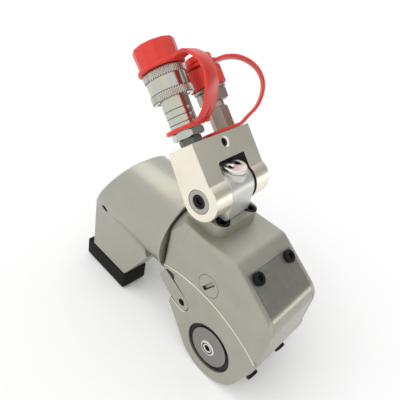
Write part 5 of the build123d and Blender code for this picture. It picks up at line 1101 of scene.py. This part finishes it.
class WRENCH_OT_straps(bpy.types.Operator):
    """Build the straps that keep the dust caps on the couplers"""

    bl_idname = "wrench.straps"
    bl_label = "Straps"

    def ring(self, bm, inner, outer, low, thickness, tongue=0.0):
        """Add a flat moulded ring, longer by a tongue on the side away from the square drive."""

        def edge(share):
            return lambda angle: outer - share + tongue * max(0.0, -sin(angle)) ** 3

        high = low + thickness
        wall = [(inner, low), (edge(0.5), low), (edge(0.15), low + 0.15), (edge(0.0), low + 0.6)]
        wall += [(edge(0.0), high - 0.6), (edge(0.15), high - 0.15), (edge(0.5), high), (inner, high)]
        turned(bm, wall, 72, loop=True)

    def strap(self, name, nodes, cap_body, side, turn, route, width, rings, ends, slit=None, lumps=()):
        """Build a strap along its curved route from block to cap, with rings, a slit and lumps."""
        place = coupler(side)
        outwards = Vector((cos(turn), sin(turn), 0))
        across = Vector((-sin(turn), cos(turn), 0))
        middle = smooth_route([outwards * x + UP * z for x, z in route], STRAP_STEPS)
        bm = bmesh.new()
        band(bm, middle, across, width, bpy.context.scene.wrench_sizes.strap_thickness / MM, 0.8)
        bmesh.ops.recalc_face_normals(bm, faces=bm.faces)
        draft = linked(name, mesh_of(name, bm))
        draft.data.materials.append(finishes["red_plastic"])
        if slit:
            first, last, opening = slit
            part = middle[int(first * STRAP_STEPS) : int(last * STRAP_STEPS) + 1]
            cutter = bmesh.new()
            band(cutter, part, across, lambda s: opening * max(0.12, sin(pi * s)), 8.0, 0.1)
            cut(draft, cutter, HERE)
        bm = bmesh.new()
        bm.from_mesh(draft.data)
        bpy.data.objects.remove(draft)
        for ring in rings:
            self.ring(bm, *ring)
        for x, y, z, r, h in lumps:
            made = bmesh.ops.create_uvsphere(bm, u_segments=24, v_segments=16, radius=1)
            spot = Matrix.Translation(outwards * x + across * y + UP * z)
            bmesh.ops.transform(bm, matrix=spot @ Matrix.Diagonal((r, r, h, 1)), verts=made["verts"])
        bmesh.ops.recalc_face_normals(bm, faces=bm.faces)
        piece = shown(name, mesh_of(name, bm, millimetres(place)), "red_plastic", None, nodes, 40)
        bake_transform(piece)

    def execute(self, context):
        wide = context.scene.wrench_sizes.wide_strap / MM
        narrow = context.scene.wrench_sizes.narrow_strap / MM
        route = [(15.4, 57.4), (21, 58.2), (26.5, 57.2), (33.2, 49.5), (34.6, 40.0), (32.4, 31.0)]
        route += [(27.0, 22.0), (20.5, 16.0), (13.5, 12.6)]
        self.strap(
            "Female_Strap",
            ["female_strap"],
            "pressure_cap",
            -1,
            radians(10.0),
            route,
            lambda s: wide * (0.9 + 0.1 * sin(pi * s)),
            [(10.5, 14.6, 11.0, 2.6)],
            (14.0, 56.0),
            slit=(0.80, 0.97, 2.2),
            lumps=[(16.5, 4.6, 12.2, 2.6, 1.9)],
        )
        route = [(12.0, 53.4), (20.0, 53.4), (29.0, 50.4), (36.5, 44.0), (41.0, 35.5), (41.4, 26.0)]
        route += [(37.6, 17.4), (30.0, 9.6), (20.0, 4.8), (14.5, 2.1), (11.5, 1.6)]
        self.strap(
            "Male_Strap",
            ["male_strap"],
            "return_cap",
            1,
            radians(49.0),
            route,
            lambda s: narrow * (0.62 + 0.38 * abs(2 * s - 1) ** 2),
            [(9.5, 14.0, 52.2, 2.4), (8.8, 14.2, 0.3, 2.4, 9.0)],
            (4.0, 52.0),
        )
        return {"FINISHED"}


class WRENCH_OT_pad(bpy.types.Operator):
    """Build the rubber pad under the reaction arm's foot"""

    bl_idname = "wrench.pad"
    bl_label = "Reaction Pad"

    def execute(self, context):
        low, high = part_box("reaction_pad")
        edge = context.scene.wrench_sizes.pad_round
        bm = bmesh.new()
        bmesh.ops.create_cube(bm, size=1.0)
        place = Matrix.Translation((low + high) / 2) @ Matrix.Diagonal((*(high - low), 1))
        bmesh.ops.transform(bm, matrix=place, verts=bm.verts)
        bmesh.ops.bevel(bm, geom=bm.edges[:], offset=edge, segments=4, profile=0.5, affect="EDGES")
        finished("Reaction_Pad", bm, HERE, "pad_rubber", "arm", ["reaction_pad"], 40)
        return {"FINISHED"}


class WRENCH_OT_stage(bpy.types.Operator):
    """Set the floor, the camera and the soft light"""

    bl_idname = "wrench.stage"
    bl_label = "Stage"

    def sunlight(self, toward, strength, width):
        """Add the soft sun that shines from a direction."""
        light = bpy.data.lights.new("Sun", "SUN")
        light.energy = strength
        light.angle = width
        made = linked("Sun", light)
        made.rotation_euler = Vector(toward).to_track_quat("Z", "Y").to_euler()
        made.visible_glossy = False

    def card(self, name, first, last, low, high, tone, glow, radius=0.8):
        """Add a curved screen that only reflections see, between two directions and two heights."""
        mesh = bpy.data.meshes.new(name)
        turns = [radians(first + (last - first) * step / CARD_STEPS) for step in range(CARD_STEPS + 1)]
        points = [(radius * cos(turn), radius * sin(turn), z) for turn in turns for z in (low, high)]
        faces = [(2 * i, 2 * i + 2, 2 * i + 3, 2 * i + 1) for i in range(CARD_STEPS)]
        mesh.from_pydata(points, [], faces)
        screen = linked(name, mesh)
        cloth, _, shader = shader_of(name, (0, 0, 0, 1), 0.0, 1.0)
        shader.inputs["Emission Color"].default_value = (*tone, 1.0)
        shader.inputs["Emission Strength"].default_value = glow
        mesh.materials.append(cloth)
        screen.visible_camera = False
        screen.visible_diffuse = False
        screen.visible_shadow = False

    def floor(self, tone):
        """Lay the backdrop paper under the wrench."""
        mesh = bpy.data.meshes.new("Floor")
        square = ((-1, -1), (1, -1), (1, 1), (-1, 1))
        corners = [(x * FLOOR_REACH, y * FLOOR_REACH, cad_box[0].z) for x, y in square]
        mesh.from_pydata(corners, [], [(0, 1, 2, 3)])
        paper, _, _ = shader_of("backdrop_paper", tone, 0.0, 0.9)
        mesh.materials.append(paper)
        linked("Floor", mesh)

    def sky(self, scene, level):
        """Light the wrench softly from all round, and show white to the camera and in reflections."""
        scene.world = bpy.data.worlds.new("Studio")
        scene.world.use_nodes = True
        tree = scene.world.node_tree
        tree.nodes.clear()
        rays = add(tree, "ShaderNodeLightPath").outputs
        seen = rays["Is Camera Ray"]
        for ray in ("Is Glossy Ray", "Is Transmission Ray"):
            seen = add(tree, "ShaderNodeMath", {0: seen, 1: rays[ray]}, operation="MAXIMUM").outputs[0]
        soft, white = (
            add(tree, "ShaderNodeBackground", {"Color": (1, 1, 1, 1), "Strength": strength}).outputs[0]
            for strength in (level, 1.0)
        )
        either = add(tree, "ShaderNodeMixShader", {0: seen, 1: soft, 2: white})
        add(tree, "ShaderNodeOutputWorld", {"Surface": either.outputs[0]})

    def camera(self, scene, focal):
        """Set the camera where the photograph was taken from."""
        lens = bpy.data.cameras.new("Camera")
        lens.lens = focal
        lens.sensor_width = 36.0
        lens.shift_x, lens.shift_y = CAMERA_SHIFT
        lens.clip_start = 0.01
        lens.clip_end = 50.0
        ahead = CAMERA_AHEAD.normalized()
        right = ahead.cross(CAMERA_TOP).normalized()
        turn = Matrix((right, right.cross(ahead), -ahead)).transposed().to_4x4()
        scene.camera = linked("Camera", lens)
        scene.camera.matrix_world = Matrix.Translation(CAMERA_AT) @ turn

    def execute(self, context):
        scene = context.scene
        stage = scene.wrench_stage
        scene.view_settings.view_transform = "Standard"
        self.floor(list(scene.wrench_colours.backdrop))
        self.sunlight((-0.25, -0.7, 0.8), stage.sun, stage.sun_width)
        self.card("Dark_Card", 5, 100, 0.0, 0.78, (0.93, 1.0, 1.0), 0.2)
        self.card("Streak_Card", 5, 100, 0.06, 0.2, (1.0, 0.99, 0.96), 3.0, 0.78)
        self.card("Light_Card", 120, 200, 0.75, 1.5, (1.0, 0.98, 0.94), 2.4)
        self.sky(scene, stage.sky)
        self.camera(scene, stage.lens)
        return {"FINISHED"}


class WRENCH_PT_finish(bpy.types.Panel):
    """Steps and settings of the wrench's finish"""

    bl_idname = "WRENCH_PT_finish"
    bl_label = "Torque Wrench"
    bl_space_type = "VIEW_3D"
    bl_region_type = "UI"
    bl_category = "Torque Wrench"

    def draw(self, context):
        for step in STEPS:
            self.layout.operator(step.bl_idname)
        for group in (context.scene.wrench_sizes, context.scene.wrench_colours, context.scene.wrench_stage):
            column = self.layout.column()
            for label in group.__annotations__:
                column.prop(group, label)


STEPS = (
    WRENCH_OT_finishes,
    WRENCH_OT_machined,
    WRENCH_OT_springs,
    WRENCH_OT_screws,
    WRENCH_OT_turned,
    WRENCH_OT_couplers,
    WRENCH_OT_caps,
    WRENCH_OT_straps,
    WRENCH_OT_pad,
    WRENCH_OT_stage,
)
CLASSES = (WrenchColours, WrenchSizes, WrenchStage, *STEPS, WRENCH_PT_finish)


def register():
    """Register the classes and hang the settings on the scene."""
    for made in CLASSES:
        bpy.utils.register_class(made)
    bpy.types.Scene.wrench_colours = PointerProperty(type=WrenchColours)
    bpy.types.Scene.wrench_sizes = PointerProperty(type=WrenchSizes)
    bpy.types.Scene.wrench_stage = PointerProperty(type=WrenchStage)


def unregister():
    """Take the settings and the classes away again."""
    del bpy.types.Scene.wrench_stage
    del bpy.types.Scene.wrench_sizes
    del bpy.types.Scene.wrench_colours
    for made in reversed(CLASSES):
        bpy.utils.unregister_class(made)


def main():
    """Build the whole wrench."""
    register()
    for step in STEPS:
        section, action = step.bl_idname.split(".")
        getattr(getattr(bpy.ops, section), action)()


if __name__ == "__main__":
    main()
